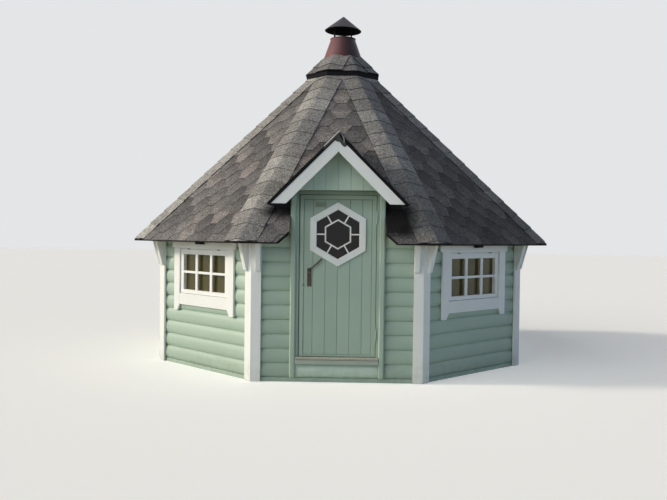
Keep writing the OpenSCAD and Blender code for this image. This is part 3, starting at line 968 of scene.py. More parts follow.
def edge_plate(start, end, thick=0.004):
    """Turned-down felt along a free edge of the front side's roof."""
    a, b = Vector((start[0], -start[1])), Vector((end[0], -end[1]))
    side = Vector((b.y - a.y, a.x - b.x)).normalized()
    if side.y < 0 or (abs(side.y) < 1e-6 and side.x * a.x < 0):
        side = -side
    ring = [(p.x, p.y) for p in (a, b, b + thick * side, a + thick * side)]
    low = [(x, y, max(EAVE_Z - EDGE_H, roof_z(-y) - EDGE_FOOT)) for x, y in ring]
    return lofted([low, [(x, y, roof_z(-y) - EDGE_TOP) for x, y in ring]])


class CABIN_OT_roof_boards(bpy.types.Operator):
    """Boards of the roof, with a black strip along the eave"""

    bl_idname = "cabin.roof_boards"
    bl_label = "Roof boards"

    def execute(self, context):
        wide, tree = context.scene.cabin_sizes.roof_board, row_tree()
        board = block(-ALONG, ALONG, 0, wide - 0.0006, -ROOF_T, -0.0068)
        tile = mesh_of(ease(board, 0.004, 1, lying(lambda co: co.z < -0.02)))
        cuts = [*hip_cuts(0.0003), below(EAVE_Z - EDGE_H)]
        for k, side in enumerate(SIDES):
            rows = grown(
                tree, tile, SPRUCE, SPRUCE, Count=33, Spacing=wide, First=-0.03, Wander=0.0, Seed=k
            )
            deck = zoned(rows, roof_frame(), cuts, roof_zones(k, 0.004), turn(k))
            show("roof_boards_" + side, deck, ["roof_" + side])
        edges = Pile("eave_edges", 40, FELT)
        for k in range(8):
            for start, end in [((-ALONG, EAVE_A), (ALONG, EAVE_A))] if k else notch_runs():
                cuts = turned_to(k, hip_cuts(0.0002))
                edges.add(edge_plate(start, end), turn(k), tone=0.5, cuts=cuts)
        edges.show("bitumen_shingle")
        return {"FINISHED"}


def tab_tile(sizes):
    """One shingle tab with its share of the strip above. It lies on the course below."""
    foot, wide, half = sizes.tab_foot / 2, sizes.tab_wide / 2, sizes.tab_pitch / 2
    course, felt = sizes.course, sizes.felt
    top = 2.05 * course
    outline = [
        (-foot, 0), (foot, 0), (wide, course), (half, course + 0.001), (half, top),
        (-half, top), (-half, course + 0.001), (-wide, course),
    ]
    bare = lying(lambda co: co.z > -felt / 2 and co.y < course + 0.01)
    bm = ease(prism(outline, -felt, 0), 0.0012, 1, bare)
    band = bm.verts.layers.float.new("band")
    for v in bm.verts:
        v[band] = v.co.y / course
        v.co.z += felt * (1.2 - v.co.y / course)
    return mesh_of(bm)


class CABIN_OT_shingles(bpy.types.Operator):
    """Hexagonal shingles over each side of the roof"""

    bl_idname = "cabin.shingles"
    bl_label = "Shingles"

    def execute(self, context):
        sizes, tree = context.scene.cabin_sizes, course_tree()
        tile = tab_tile(sizes)
        for k, side in enumerate(SIDES):
            tabs = grown(
                tree, tile, SLATE, FELT, Columns=8, Rows=22, Pitch=sizes.tab_pitch,
                Course=sizes.course, First=sizes.first_course, Odd=1.0, Wander=0.004, Seed=50 + k,
            )
            laid = zoned(tabs, roof_frame(), hip_cuts(0.004), roof_zones(k), turn(k))
            show("shingles_" + side, laid)
        strips = Pile("starter_strips", 60, SLATE)
        for k in range(8):
            for zone in roof_zones(k):
                strip = block(-ALONG, ALONG, -0.002, 0.150, -0.0064, -0.0024)
                cuts = turned_to(k, hip_cuts(0.003) + zone)
                strips.add(strip, turn(k) @ roof_frame(), tone=0.35, cuts=cuts)
        strips.show("bitumen_shingle")
        return {"FINISHED"}


def cap_tile(half, long, exposed, felt, fold, pressed=0.0, soft=0.012):
    """One hip cap: a strip folded softly over the hip, its lower edge on the cap below. Its
    sides are pressed down on the shingles by a part of its thickness."""
    lean = math.tan(fold)

    def point(x, y, under):
        """A point of the cap's upper or lower face."""
        z = -lean * math.hypot(x, soft) + felt * (1 - y / exposed)
        z -= (0.7 if under else 1.0) * pressed * max(0.0, 2 * abs(x) / half - 1) ** 1.5
        if under or y == 0:
            z -= felt if under else 0.0012
        return x, y, z

    across = [half * math.copysign(abs(i / 12) ** 1.6, i) for i in range(-12, 13)]
    return mesh_of(sheet(point, across, [0, 0.0015, long * 0.33, long * 0.66, long]))


class CABIN_OT_hip_caps(bpy.types.Operator):
    """Folded caps up the eight hips"""

    bl_idname = "cabin.hip_caps"
    bl_label = "Hip caps"

    def execute(self, context):
        sizes, tree = context.scene.cabin_sizes, row_tree()
        along = sizes.cap_course * math.hypot(1, TAN * math.cos(PITCH))
        tile = cap_tile(sizes.cap_half, along * 1.35, along, 0.0070, hip_fold(), 0.0048)
        eave = beyond(EAVE_A)
        cuts = [eave, *turned_to(1, [eave]), above(roof_z(CAP_A - 0.03))]
        hips = []
        for k in range(8):
            row = grown(
                tree, tile, HIP_SLATE, FELT, Count=16, Spacing=along, First=-0.172,
                Wander=0.007, Seed=70 + k,
            )
            hips.append(zoned(row, hip_frame(EAVE_A, EAVE_Z, 0.0110), cuts))
            for v in hips[-1].vertices:
                from_eave = EAVE_A - max(-v.co.y, -(turn(-1) @ v.co).y)
                v.co.z -= 0.008 * max(0.0, 1 - from_eave / 0.12)
            hips[-1].transform(turn(k))
        show("hip_caps", joined(hips, "hip_caps"))
        return {"FINISHED"}


def tuck_under_cone(mesh, radius):
    """Draws points that lie inside the chimney cone back down the slope to its foot."""
    normals = [turn(k) @ Vector((0, -1, 0)) for k in range(8)]
    bm = bmesh.new()
    bm.from_mesh(mesh)
    for v in bm.verts:
        r = math.hypot(v.co.x, v.co.y)
        if r < radius:
            a = max(v.co.dot(n) for n in normals)
            v.co.z -= a * (radius / r - 1) * CAP_RISE
            v.co.x *= radius / r
            v.co.y *= radius / r
    bmesh.ops.remove_doubles(bm, verts=bm.verts[:], dist=1e-5)
    bm.to_mesh(mesh)
    bm.free()


class CABIN_OT_cap_tier(bpy.types.Operator):
    """The smoke cap: its boards, its black edge and the two rows of strips over it"""

    bl_idname = "cabin.cap_tier"
    bl_label = "Smoke cap"

    def execute(self, context):
        hole, edge, foot = 0.16, CAP_A - 0.004, CAP_Z - 0.048
        inner, drop = CAP_A - 0.016, 0.022 / math.cos(PITCH)
        top = CAP_Z + (CAP_A - hole) * CAP_RISE
        outline = [
            (edge, foot), (edge, CAP_Z - 0.004), (hole, top - 0.006), (hole, top - drop),
            (inner, CAP_Z + (CAP_A - inner) * CAP_RISE - drop), (inner, foot),
        ]
        shell = Pile("cap_boards", 90, FELT)
        for k in range(8):
            cuts = turned_to(k, hip_cuts(0.0002))
            shell.add(prism(outline, -0.3, 0.3), turn(k) @ PROFILE, cuts=cuts)
        shell.show("bitumen_shingle", ["roof_cap"])

        course, tree = 0.150, row_tree()
        tile = cap_tile(0.175, course * 1.3, course, 0.0085, hip_fold())
        eave = beyond(CAP_A + 0.006)
        hips = []
        for k in range(8):
            row = grown(
                tree, tile, CAP_SLATE, FELT, Count=2, Spacing=course, First=-0.012,
                Wander=0.004, Seed=95 + k,
            )
            place = hip_frame(CAP_A + 0.004, CAP_Z - 0.004 * RISE, 0.004 + 0.009 * (k % 2))
            hips.append(zoned(row, place, [eave, *turned_to(1, [eave])], turned=turn(k)))
        strips = joined(hips, "cap_strips")
        for v in strips.vertices:
            v.co.z += max(0.0, v.co.z - CAP_Z) * (CAP_RISE / RISE - 1)
        tuck_under_cone(strips, CONE_FOOT_R - 0.003)
        show("cap_strips", strips)
        return {"FINISHED"}


class CABIN_OT_dormer(bpy.types.Operator):
    """The dormer's two slopes: boards, black edges and shingles"""

    bl_idname = "cabin.dormer"
    bl_label = "Dormer roof"

    def execute(self, context):
        sizes, courses, row = context.scene.cabin_sizes, course_tree(), row_tree()
        roof, front = on_roof(0.002), beyond(EAVE_A - 0.005)
        top, under, along = DORMER_TOP - 0.003, BARGE_OUT - 0.001, (-DORMER_ALONG, DORMER_ALONG)
        decks, tabs, edges = [], [], Pile("dormer_edges", 104, FELT, SLATE)
        for s in (-1, 1):
            slope, ridge = dormer_frame(s), plane((0, 0, 0), (-s, 0, 0))
            board = block(*along, 0, 0.0945, -DORMER_T + 0.0086, -0.006)
            boards = grown(
                row, mesh_of(board), SHADED_SPRUCE, SHADED_SPRUCE, Count=13, Spacing=0.095, First=-0.015,
                Wander=0.0, Seed=3,
            )
            cuts = [ridge, beyond(BARGE_FRONT), below(BARGE_Z + 0.005), roof]
            decks.append(zoned(boards, slope, cuts))
            tiles = grown(
                courses, tab_tile(sizes), SLATE, FELT, Columns=9, Rows=9, Pitch=sizes.tab_pitch,
                Course=sizes.course, First=-0.02, Odd=0.0, Wander=0.004, Seed=100 + s,
            )
            cuts = [ridge, front, below(BARGE_Z + 0.001), roof]
            tabs.append(zoned(tiles, slope @ shift(s * -2.1, 0, 0), cuts))
            starter = block(*along, -0.02, 0.13, -0.0058, -0.0022)
            edges.add(starter, slope, cuts=cuts, finish=1, tone=0.35)
            outline = [
                (0, top), (s * (top - BARGE_Z), BARGE_Z), (s * (under - BARGE_Z), BARGE_Z),
                (0, under),
            ]
            edges.add(prism(outline, 0, 0.005), front_frame(BARGE_FRONT))
            drip = block(*along, 0, 0.003, -0.012, -0.001)
            reach = shift(0, (BARGE_Z - DORMER_TOP + DORMER_HALF) * math.sqrt(2), 0)
            edges.add(drip, slope @ reach, cuts=[front, roof])
            foot = sorted((s * (under - BARGE_Z), s * (top - BARGE_Z)))
            plate = block(*foot, -BARGE_FRONT, 0, BARGE_Z + 0.0005, BARGE_Z + 0.0045)
            edges.add(plate, cuts=[roof])
        replaced = ["dormer_roof_left", "dormer_roof_right"]
        show("dormer_boards", joined(decks, "dormer_boards"), replaced)
        show("dormer_shingles", joined(tabs, "dormer_shingles"))
        edges.show("bitumen_shingle")
        return {"FINISHED"}


class CABIN_OT_dormer_ridge(bpy.types.Operator):
    """Folded caps along the dormer's ridge, the front one bent over the edge and torn"""

    bl_idname = "cabin.dormer_ridge"
    bl_label = "Dormer ridge"

    def execute(self, context):
        exposed = 0.170
        tile = cap_tile(0.150, exposed * 1.4, exposed, 0.0045, math.radians(45), 0.004)
        caps = grown(
            row_tree(), tile, HIP_SLATE, FELT, Count=6, Spacing=exposed, First=0.14,
            Wander=0.006, Seed=107,
        )
        place = shift(0, -EAVE_A + 0.003, DORMER_TOP + 0.0125)
        show("ridge_caps", zoned(caps, place, [on_roof(0.012)]))

        front = Pile(
            "ridge_front", 108, HIP_SLATE, "weathered bitumen felt", "bleached rolled felt edge",
            "creased bitumen felt",
        )
        front.add(self.front_cap(), shift(0, 0.0005 - EAVE_A, DORMER_TOP + 0.003), tone=0.8)

        # Torn, crumpled flap that hangs from the front cap over the boards' apex
        torn = [
            (-0.038, -0.093), (-0.019, -0.104), (0.011, -0.108), (0.025, -0.130), (0.041, -0.149),
            (0.055, -0.157), (0.068, -0.154), (0.082, -0.141), (0.092, -0.119), (0.076, -0.081),
            (0.049, -0.043), (0.027, -0.015), (0.011, -0.007), (0.000, -0.032), (-0.016, -0.064),
        ]
        apex, place = BARGE_OUT + 0.0566, front_frame(BARGE_FRONT + 0.0006)
        flap = prism([(x, apex + z) for x, z in torn], 0, 0.0022)
        bmesh.ops.triangulate(flap, faces=[f for f in flap.faces if len(f.verts) > 4])
        bmesh.ops.subdivide_edges(flap, edges=flap.edges[:], cuts=3, use_grid_fill=True)
        for v in flap.verts:
            fold = noise.noise(Vector((v.co.x * 26 + v.co.y * 14, v.co.y * 9, 1.5)))
            v.co.z += 0.0026 * (1 + max(-1.0, min(1.0, 1.8 * fold)))
        front.add(flap, place, tone=0.3, finish=1)
        curl = [
            (0.022, -0.028), (0.036, -0.052), (0.045, -0.084), (0.049, -0.118), (0.058, -0.122),
            (0.058, -0.086), (0.047, -0.048), (0.030, -0.026),
        ]
        fold = prism([(x, apex + z) for x, z in curl], 0.002, 0.0088)
        front.add(ease(fold, 0.003, 3, sharper(0.9)), place, tone=0.3, finish=3)
        front.show("bitumen_shingle")
        return {"FINISHED"}

    def front_cap(self):
        """The front cap: its wings stand off the slopes, and its edge is bent down in front."""
        reach, back, drop_left, drop_right, middle, felt = 0.150, 0.260, 0.040, 0.012, 0.010, 0.0035
        rows = [(0.0, 1.0), (0.0, 0.64), (0.0, 0.30)]
        rows += [(0.012 * (1 - math.cos(t)), 0.30 * (1 - math.sin(t))) for t in (0.5, 1.0)]
        rows += [(0.012, 0.0), (0.050, 0.0), (back, 0.0)]
        columns = range(-14, 15)

        def point(i, row, under):
            """A point of the cap's upper or lower face."""
            y, drop = row
            x = middle + reach * i / 14
            left = min(1.0, max(0.0, 0.5 - i / 2))
            rough = noise.noise(Vector((i * 0.9, drop * 3, 4.2)))
            z = -math.hypot(x - middle, 0.004) + (0.004 + 0.012 * left) * (1 - y / back)
            z -= drop * (drop_left * left + drop_right * (1 - left)) * (1 + 0.16 * rough)
            return x, y + felt * under, z - felt * under * (y > 0)

        def finish(i, j):
            """Rolled felt along the bend on the left, paled as a painted highlight, bare felt in
            front, granules behind.
            """
            return 2 if 2 <= j <= 4 and columns[i] < 1 else int(j < 2)

        return sheet(point, columns, rows, finish, rim=1)


# ---------------------------------------------------------------- trim, windows and door


def upright_boards(edges, z0, z1, thick, chamfer, gap=0.0008):
    """Upright boards between the given edges, each with its front edges chamfered."""
    return [
        ease(
            block(x0 + gap / 2, x1 - gap / 2, z0, z1, -thick, 0), chamfer, 1,
            lying(lambda co: co.z > -1e-6),
        )
        for x0, x1 in zip(edges, edges[1:])
    ]


class CABIN_OT_gable(bpy.types.Operator):
    """Boards of the gable over the door, and the white bargeboards"""

    bl_idname = "cabin.gable"
    bl_label = "Gable"

    def execute(self, context):
        sizes = context.scene.cabin_sizes
        boards = Pile("gable_boards", 110, LIT_GREEN)
        joints = [i * sizes.gable_board for i in range(-3, 4)]
        edges = [-BAY_HALF, *[x for x in joints if abs(x) < BAY_HALF], BAY_HALF]
        slopes = [
            plane((0, 0, BARGE_OUT - 0.0005), Vector((s, 0, 1)).normalized()) for s in (-1, 1)
        ]
        for board in upright_boards(edges, 1.921, BARGE_OUT, 0.020, 0.004):
            boards.add(board, front_frame(PILASTER_A + 0.020), turned=True, cuts=slopes)
        boards.show("green_paint", ["gable_panel"])
        barge = Pile("barge_boards", 111, WHITE)
        for s in (-1, 1):
            outline = [
                (0, BARGE_OUT), (s * (BARGE_OUT - BARGE_Z), BARGE_Z),
                (s * (BARGE_IN - BARGE_Z), BARGE_Z), (0, BARGE_IN),
            ]
            board = prism(outline, -0.022, 0)
            barge.add(board, front_frame(BARGE_FRONT), soft=sizes.easing)
        barge.show("white_paint", ["bargeboards"])
        return {"FINISHED"}


class CABIN_OT_corner_trim(bpy.types.Operator):
    """White boards over the corners, and the brackets under the eaves"""

    bl_idname = "cabin.corner_trim"
    bl_label = "Corner trim"

    def execute(self, context):
        soft = context.scene.cabin_sizes.easing
        boards, brackets = Pile("corner_trim", 120, WHITE), Pile("brackets", 121, WHITE)
        outer, wide = COVER_A * TAN, 0.100
        # A bracket's quarter-round toe, its height, and how its front leans out above it
        toe, toe_z, lean, thick, inset = 0.032, 1.136, 0.27, 0.047, 0.004
        reach = (toe + lean * (under_z(COVER_A) - toe_z)) / (1 + lean * RISE)
        arc = [math.radians(90 * i / 8) for i in range(1, 9)]
        outline = [
            (COVER_A, under_z(COVER_A)), (COVER_A, toe_z - toe),
            *[(COVER_A + toe * math.sin(a), toe_z - toe * math.cos(a)) for a in arc],
            (COVER_A + reach, under_z(COVER_A + reach)),
        ]
        for k in range(8):
            for s in (-1, 1):
                x0, x1 = sorted((s * (outer - wide), s * (outer + 0.02)))
                # The photographed boards run down over the base frame, almost to the ground
                board = block(x0, x1, 0.004, 1.8, 0, COVER_A - CROWN_A)
                board.transform(front_frame(CROWN_A))
                ease(clip(board, [*hip_cuts(0.0004), under_roof(0.0004)]), soft)
                board.transform(front_frame(0).inverted())
                boards.add(board, turn(k) @ front_frame(0), turned=True)
                x0, x1 = sorted((s * (outer - wide + inset), s * (outer - wide + inset + thick)))
                bracket = prism(outline, -x1, -x0)
                brackets.add(bracket, turn(k) @ PROFILE, turned=True, soft=soft)
        boards.show("white_paint", ["corner_boards"])
        brackets.show("white_paint", ["eave_brackets"])
        return {"FINISHED"}


class CABIN_OT_windows(bpy.types.Operator):
    """Casings and sashes of the four windows"""

    bl_idname = "cabin.windows"
    bl_label = "Windows"

    def execute(self, context):
        soft = context.scene.cabin_sizes.easing
        casings, sashes = Pile("casings", 130, WHITE), Pile("sashes", 131, WHITE)
        hinges, lamps = Pile("sash_hinges", 132, ZINC), Pile("lamps", 133, "black moulded plastic")
        half, outer, foot, cut, head = SASH_HALF, 0.560, 0.618, 0.040, SASH_Z1 + 0.124
        over, apron = outer + 0.037, SASH_Z0 - 0.125
        parts = [
            ([(-over, SASH_Z1), (over, SASH_Z1), (over, head), (-over, head)], 0.0232),
            ([(-half, apron), (half, apron), (half, SASH_Z0), (-half, SASH_Z0)], 0.021),
        ]
        for s in (-1, 1):
            leg = [
                (s * half, SASH_Z1), (s * half, apron), (s * (half + cut), foot),
                (s * outer, foot), (s * outer, SASH_Z1),
            ]
            parts.append((leg, 0.0224))
        pane_w, pane_h, stile, rail, pane_z = 0.232, 0.183, 0.042, 0.027, 0.852
        pitch, edge, inner = pane_w + stile, half - 0.003, 1.5 * pane_w + stile
        low, top, upper = SASH_Z0 + 0.003, SASH_Z1 - 0.014, pane_z + pane_h + rail
        # Two stiles, two rails and the thinner bars between the six panes
        members = [
            (-edge, -inner, low, top), (inner, edge, low, top), (-inner, inner, low, pane_z),
            (-inner, inner, upper + pane_h, top), (-inner, inner, pane_z + pane_h, upper),
        ]
        for x in (-0.5 * pitch, 0.5 * pitch):
            for z in (pane_z, upper):
                members.append((x - stile / 2, x + stile / 2, z, z + pane_h))
        for k in WINDOW_SIDES:
            for outline, thick in parts:
                upright = abs(outline[0][1] - outline[1][1]) > 0.1
                board, place = prism(outline, 0.0001, thick), turn(k) @ front_frame(CROWN_A)
                casings.add(board, place, turned=upright, soft=soft)
            place = turn(k) @ front_frame(WALL_A + 0.030)
            for i, (x0, x1, z0, z1) in enumerate(members):
                bar = block(x0, x1, z0, z1, -0.040 if i < 4 else -0.015, 0)
                sashes.add(bar, place, turned=z1 - z0 > x1 - x0, soft=0.003)
            stop = block(-half, half, top + 0.003, SASH_Z1, -0.040, 0.002)
            sashes.add(stop, place, soft=soft)
            for x in (-0.28, 0.28):
                knuckle = rod(20, 0.006, 0.006, 0.05, shift(x, top + 0.001, 0.004) @ spin(90, "Y"))
                hinges.add(knuckle, place, soft=0.001)
        casings.show("white_paint", ["window_casings"])
        sashes.show("white_paint", ["window_sashes"])
        hinges.show("painted_steel")
        dress("dusty float glass", "window_glass")
        dress("dark float glass of the door", "hex_glass")
        # Each lamp is a flat head over a narrower body
        for k in WINDOW_SIDES:
            for sizes in (
                (-0.055, 0.055, 1.381, 1.425, 0.0002, 0.070),
                (-0.050, 0.050, 1.360, 1.3808, 0.006, 0.064),
            ):
                lamps.add(ease(block(*sizes), 0.004, 3), turn(k) @ front_frame(COVER_A - 0.002))
        lamps.show("black_plastic", ["window_lamps"])
        return {"FINISHED"}


class CABIN_OT_door_bay(bpy.types.Operator):
    """Posts, frame and threshold of the door"""

    bl_idname = "cabin.door_bay"
    bl_label = "Door bay"

    def execute(self, context):
        posts, inner = Pile("posts", 140, GREEN), BAY_HALF - 0.055
        for s in (-1, 1):
            outline = [
                (s * BAY_HALF, 0.048), (s * inner, 0.048), (s * inner, BARGE_OUT - inner),
                (s * BAY_HALF, BARGE_OUT - BAY_HALF),
            ]
            post = ease(prism(outline, -0.030, 0), 0.010, 1)
            posts.add(post, front_frame(PILASTER_A), turned=True)
        posts.show("green_paint", ["door_pilasters"])
        # The threshold's nose is a worn edge, painted paler as a highlight
        finishes = (
            "thin paint on the threshold", "bleached threshold edge", "weathered oak threshold"
        )
        sill, half, face = Pile("sill", 141, *finishes), inner - 0.001, PILASTER_A + 0.012
        board = [(face - 0.007, 0.187), (face - 0.007, 0.229), (INNER_A, 0.229), (INNER_A, 0.187)]
        nose = [
            (face - 0.004, 0.2325), (face, 0.236), (face, 0.240), (INNER_A, 0.241),
            (INNER_A, 0.2325),
        ]
        lip = [
            (face - 0.003, 0.2415), (face - 0.003, 0.247), (face - 0.012, 0.258),
            (INNER_A, 0.258), (INNER_A, 0.2415),
        ]
        for finish, outline in enumerate((board, nose, lip)):
            sill.add(prism(outline, -half, half), PROFILE, finish=finish, soft=0.0015)
        sill.show("weathered_timber", ["threshold"])
        dress(DUSTY_SHADED, "door_frame")
        dress(GREEN, "dormer_cheeks")
        # The hinges' pale colour is a painted highlight
        dress("green painted hinge steel", "frame_hinges", "door_hinges")
        return {"FINISHED"}


def hexagon_member(outer, inner, k, low, high):
    """One mitred side of a ring of six."""
    a, b = math.radians(30 + 60 * k), math.radians(90 + 60 * k)
    corners = (outer, a), (outer, b), (inner, b), (inner, a)
    return prism([(r * math.cos(t), HEX_Z + r * math.sin(t)) for r, t in corners], low, high)


class CABIN_OT_door(bpy.types.Operator):
    """The door leaf with its boards, rim and hexagonal window"""

    bl_idname = "cabin.door"
    bl_label = "Door"

    def execute(self, context):
        leaf, rim, half = Pile("leaf_boards", 150, DUSTY_SHADED), 0.043, LEAF_HALF
        place, field = front_frame(LEAF_A), front_frame(LEAF_A - 0.008)
        inner, deep, z0, z1 = half - rim, LEAF_T - 0.008, LEAF_Z0 + 0.018, LEAF_Z1 - rim
        wide = context.scene.cabin_sizes.door_board
        edges = [-inner, *[i * wide for i in range(-2, 3)], inner]
        # The window's hole in the boards, from corner to corner and from flat to flat
        hole = HEX_IN + 0.016
        flat, slope = hole * math.cos(math.radians(30)), math.tan(math.radians(30))
        for board in upright_boards(edges, z0, z1, deep, 0.005):
            xs = [v.co.x for v in board.verts]
            s, reach = (1 if min(xs) + max(xs) > 0 else -1), max(abs(x) for x in xs)
            tone = leaf.random.random()
            if min(abs(x) for x in xs) > flat:
                leaf.add(board, field, turned=True, tone=tone)
                continue
            for up in (-1, 1):
                cut = plane((0, 0, HEX_Z + up * hole), Vector((-s * slope, 0, -up)).normalized())
                leaf.add(board.copy(), field, turned=True, tone=tone, cuts=[cut])
            if reach > flat + 0.002:
                x0, x1 = sorted((s * flat, s * reach))
                beside = block(x0, x1, HEX_Z - hole / 2, HEX_Z + hole / 2, -deep, -0.001)
                leaf.add(beside, field, turned=True, tone=tone)
            board.free()
        for x0, x1, low, high in (
            (-half + 0.006, -inner, LEAF_Z0, LEAF_Z1), (inner, half, LEAF_Z0, LEAF_Z1),
            (-inner, inner, z1, LEAF_Z1), (-inner, inner, LEAF_Z0, z0),
        ):
            member = block(x0, x1, low, high, -LEAF_T, 0)
            leaf.add(member, place, turned=high - low > x1 - x0, soft=0.003)
        leaf.show("green_paint", ["door_leaf"], "door")
        ring = Pile("hex_ring", 151, WHITE)
        for k in range(6):
            for outer, inner, low, high in (
                (HEX_R, HEX_IN + 0.004, -0.008, 0.012),
                (HEX_IN + 0.014, HEX_IN, -LEAF_T + 0.001, 0.008),
            ):
                ring.add(hexagon_member(outer, inner, k, low, high), place, soft=0.0025)
        ring.show("white_paint", ["hex_frame"], "door")
        bars = Pile("hex_bars", 152, "ivory paint on the thin bars")
        for k in range(6):
            bars.add(hexagon_member(0.1525, 0.1355, k, -0.017, -0.006), place, soft=0.002)
            foot = 0.151 * math.cos(math.radians(30))
            spoke = block(foot, 0.2125, -0.007, 0.007, -0.016, -0.008)
            bars.add(spoke, place @ shift(0, HEX_Z, 0) @ spin(60 * k), soft=0.002)
        bars.show("white_paint", ["hex_muntins"], "door")
        return {"FINISHED"}


class CABIN_OT_hardware(bpy.types.Operator):
    """The door's handle plate, lever and small fittings"""

    bl_idname = "cabin.hardware"
    bl_label = "Hardware"

    def execute(self, context):
        face = LEAF_A - 0.008
        plate = Pile("plate", 160, "rusty brown door plate")
        shape = block(PLATE_X - 0.0215, PLATE_X + 0.0215, 0.959, 1.144, 0.0002, 0.004)
        ease(shape, 0.008, 5, lambda e: abs(e.verts[0].co.z - e.verts[1].co.z) > 0.002)
        plate.add(shape, front_frame(face), turned=True, soft=0.0012)
        plate.show("rusty_steel", ["handle_plate"], "door")
        # Two small plates, each from left to right, from foot to top and from back to front
        for name, seed, finish, a, sizes in (
            ("plaque", 163, "dull green painted plate", face,
             (-0.228, -0.128, 1.755, 1.805, 0.0002, 0.0017)),
            ("latch_plate", 164, ZINC, LEAF_A, (-0.351, -0.329, 0.963, 0.989, 0.0001, 0.0015)),
        ):
            small = Pile(name, seed, finish)
            small.add(block(*sizes), front_frame(a), soft=0.0005)
            small.show("painted_steel", body="door")
        screws = Pile("screws", 161, ZINC)
        for z in (0.972, 1.000, 1.100):
            head = bmesh.new()
            bmesh.ops.create_uvsphere(head, u_segments=16, v_segments=8, radius=0.0052)
            bmesh.ops.scale(head, vec=(1, 1, 0.45), verts=head.verts[:])
            screws.add(head, front_frame(face + 0.004) @ shift(PLATE_X, z, 0))
        screws.show("painted_steel", body="door")

        lever, long = Pile("lever", 162, "dark forged lever"), 0.165
        at = front_frame(face) @ shift(PLATE_X, SPINDLE_Z, 0)
        lever.add(rod(32, 0.0105, 0.0095, 0.018, shift(0, 0, 0.0135)), at, soft=0.0015)
        arm = block(-0.004, long, -0.0085, 0.0085, 0.0135, 0.0225)
        along = [e for e in arm.edges if abs(e.verts[0].co.x - e.verts[1].co.x) > 0.1]
        bmesh.ops.subdivide_edges(arm, edges=along, cuts=12)
        for v in arm.verts:
            share = max(0.0, v.co.x) / long
            v.co.y *= 1 - 0.35 * math.sin(math.pi * share) * (1 - share)
            v.co.y -= 0.004 * math.sin(math.pi * share)
        lever.add(arm, at @ spin(41), soft=0.0018)
        lever.show("black_steel", ["door_lever"], "lever")
        return {"FINISHED"}


class CABIN_OT_chimney(bpy.types.Operator):
    """The chimney cone with its rolled lip, and the hat on four straps"""

    bl_idname = "cabin.chimney"
    bl_label = "Chimney"

    def execute(self, context):
        cone = Pile("cone", 170, "red-brown coated chimney sheet")
        r1, r2, foot, top, skirt = CONE_FOOT_R, CONE_TOP_R, CONE_FOOT_Z, CONE_TOP_Z, 3.6
        quarter = [math.radians(a) for a in range(0, 91, 15)]
        profile = [
            (r1, skirt), (r1, foot), (r2, top - 0.014),
            *[
                (r2 + 0.0035 * (1 - math.cos(t)), top - 0.012 + 0.006 * math.sin(t))
                for t in quarter
            ],
            (r2 + 0.007, top - 0.005), (r2 + 0.007, top - 0.001), (r2 + 0.006, top),
            (r2 + 0.003, top), (r2 - 0.003, top - 0.008), (r1 - 0.003, foot), (r1 - 0.003, skirt),
        ]
        cone.add(lathe(profile))
        cone.show("brown_coated_steel", ["chimney_cone"])
        hat = Pile("hat", 171, "dark coated hat sheet", "soot inside the hat")
        rim, z, high = 0.230, 4.045, 0.185
        shell = lathe([
            (rim - 0.003, z), (rim - 0.0005, z), (rim, z + 0.0015), (rim - 0.002, z + 0.004),
            (0.02, z + high * 0.915), (0.008, z + high * 0.965), (0, z + high * 0.97),
            (0, z + high * 0.94), (0.02, z + high * 0.90),
        ])
        for f in shell.faces:
            f.normal_update()
            f.material_index = int(f.normal.z < 0 and f.calc_center_median().z > z + 0.001)
        # The hat sits a little crooked
        hat.add(shell, shift(0, 0, z) @ spin(1.6, "Y") @ shift(0, 0, -z))
        for k in range(4):
            strap = block(-0.0125, 0.0125, 3.909, 4.099, -0.002, 0)
            hat.add(strap, spin(45 + 90 * k) @ front_frame(0.150), finish=1, soft=0.0006)
        hat.show("dark_coated_steel", ["chimney_hat"])
        return {"FINISHED"}


class CABIN_OT_floor(bpy.types.Operator):
    """Floor boards, and the finishes of the frame under them"""

    bl_idname = "cabin.floor"
    bl_label = "Floor"

    def execute(self, context):
        wide, low, high = context.scene.cabin_sizes.floor_board, 0.072, 0.100
        board = block(-2.05, 2.05, 0, wide - 0.0008, low, high)
        ease(board, 0.002, 1, lying(lambda co: co.z > high - 0.01))
        rows = grown(
            row_tree(), mesh_of(board), PINE, PINE, Count=37, Spacing=wide, First=-2.1,
            Wander=0.0, Seed=5,
        )
        walls = [cut for k in range(8) for cut in turned_to(k, [beyond(INNER_A - 0.006)])]
        show("floor_planks", zoned(rows, Matrix(), walls), ["floor"])
        dress(GREEN, "base_frame")
        dress("sawn treated timber", "floor_joists")
        dress(SPRUCE, "top_ring")
        return {"FINISHED"}


# ---------------------------------------------------------------- stage


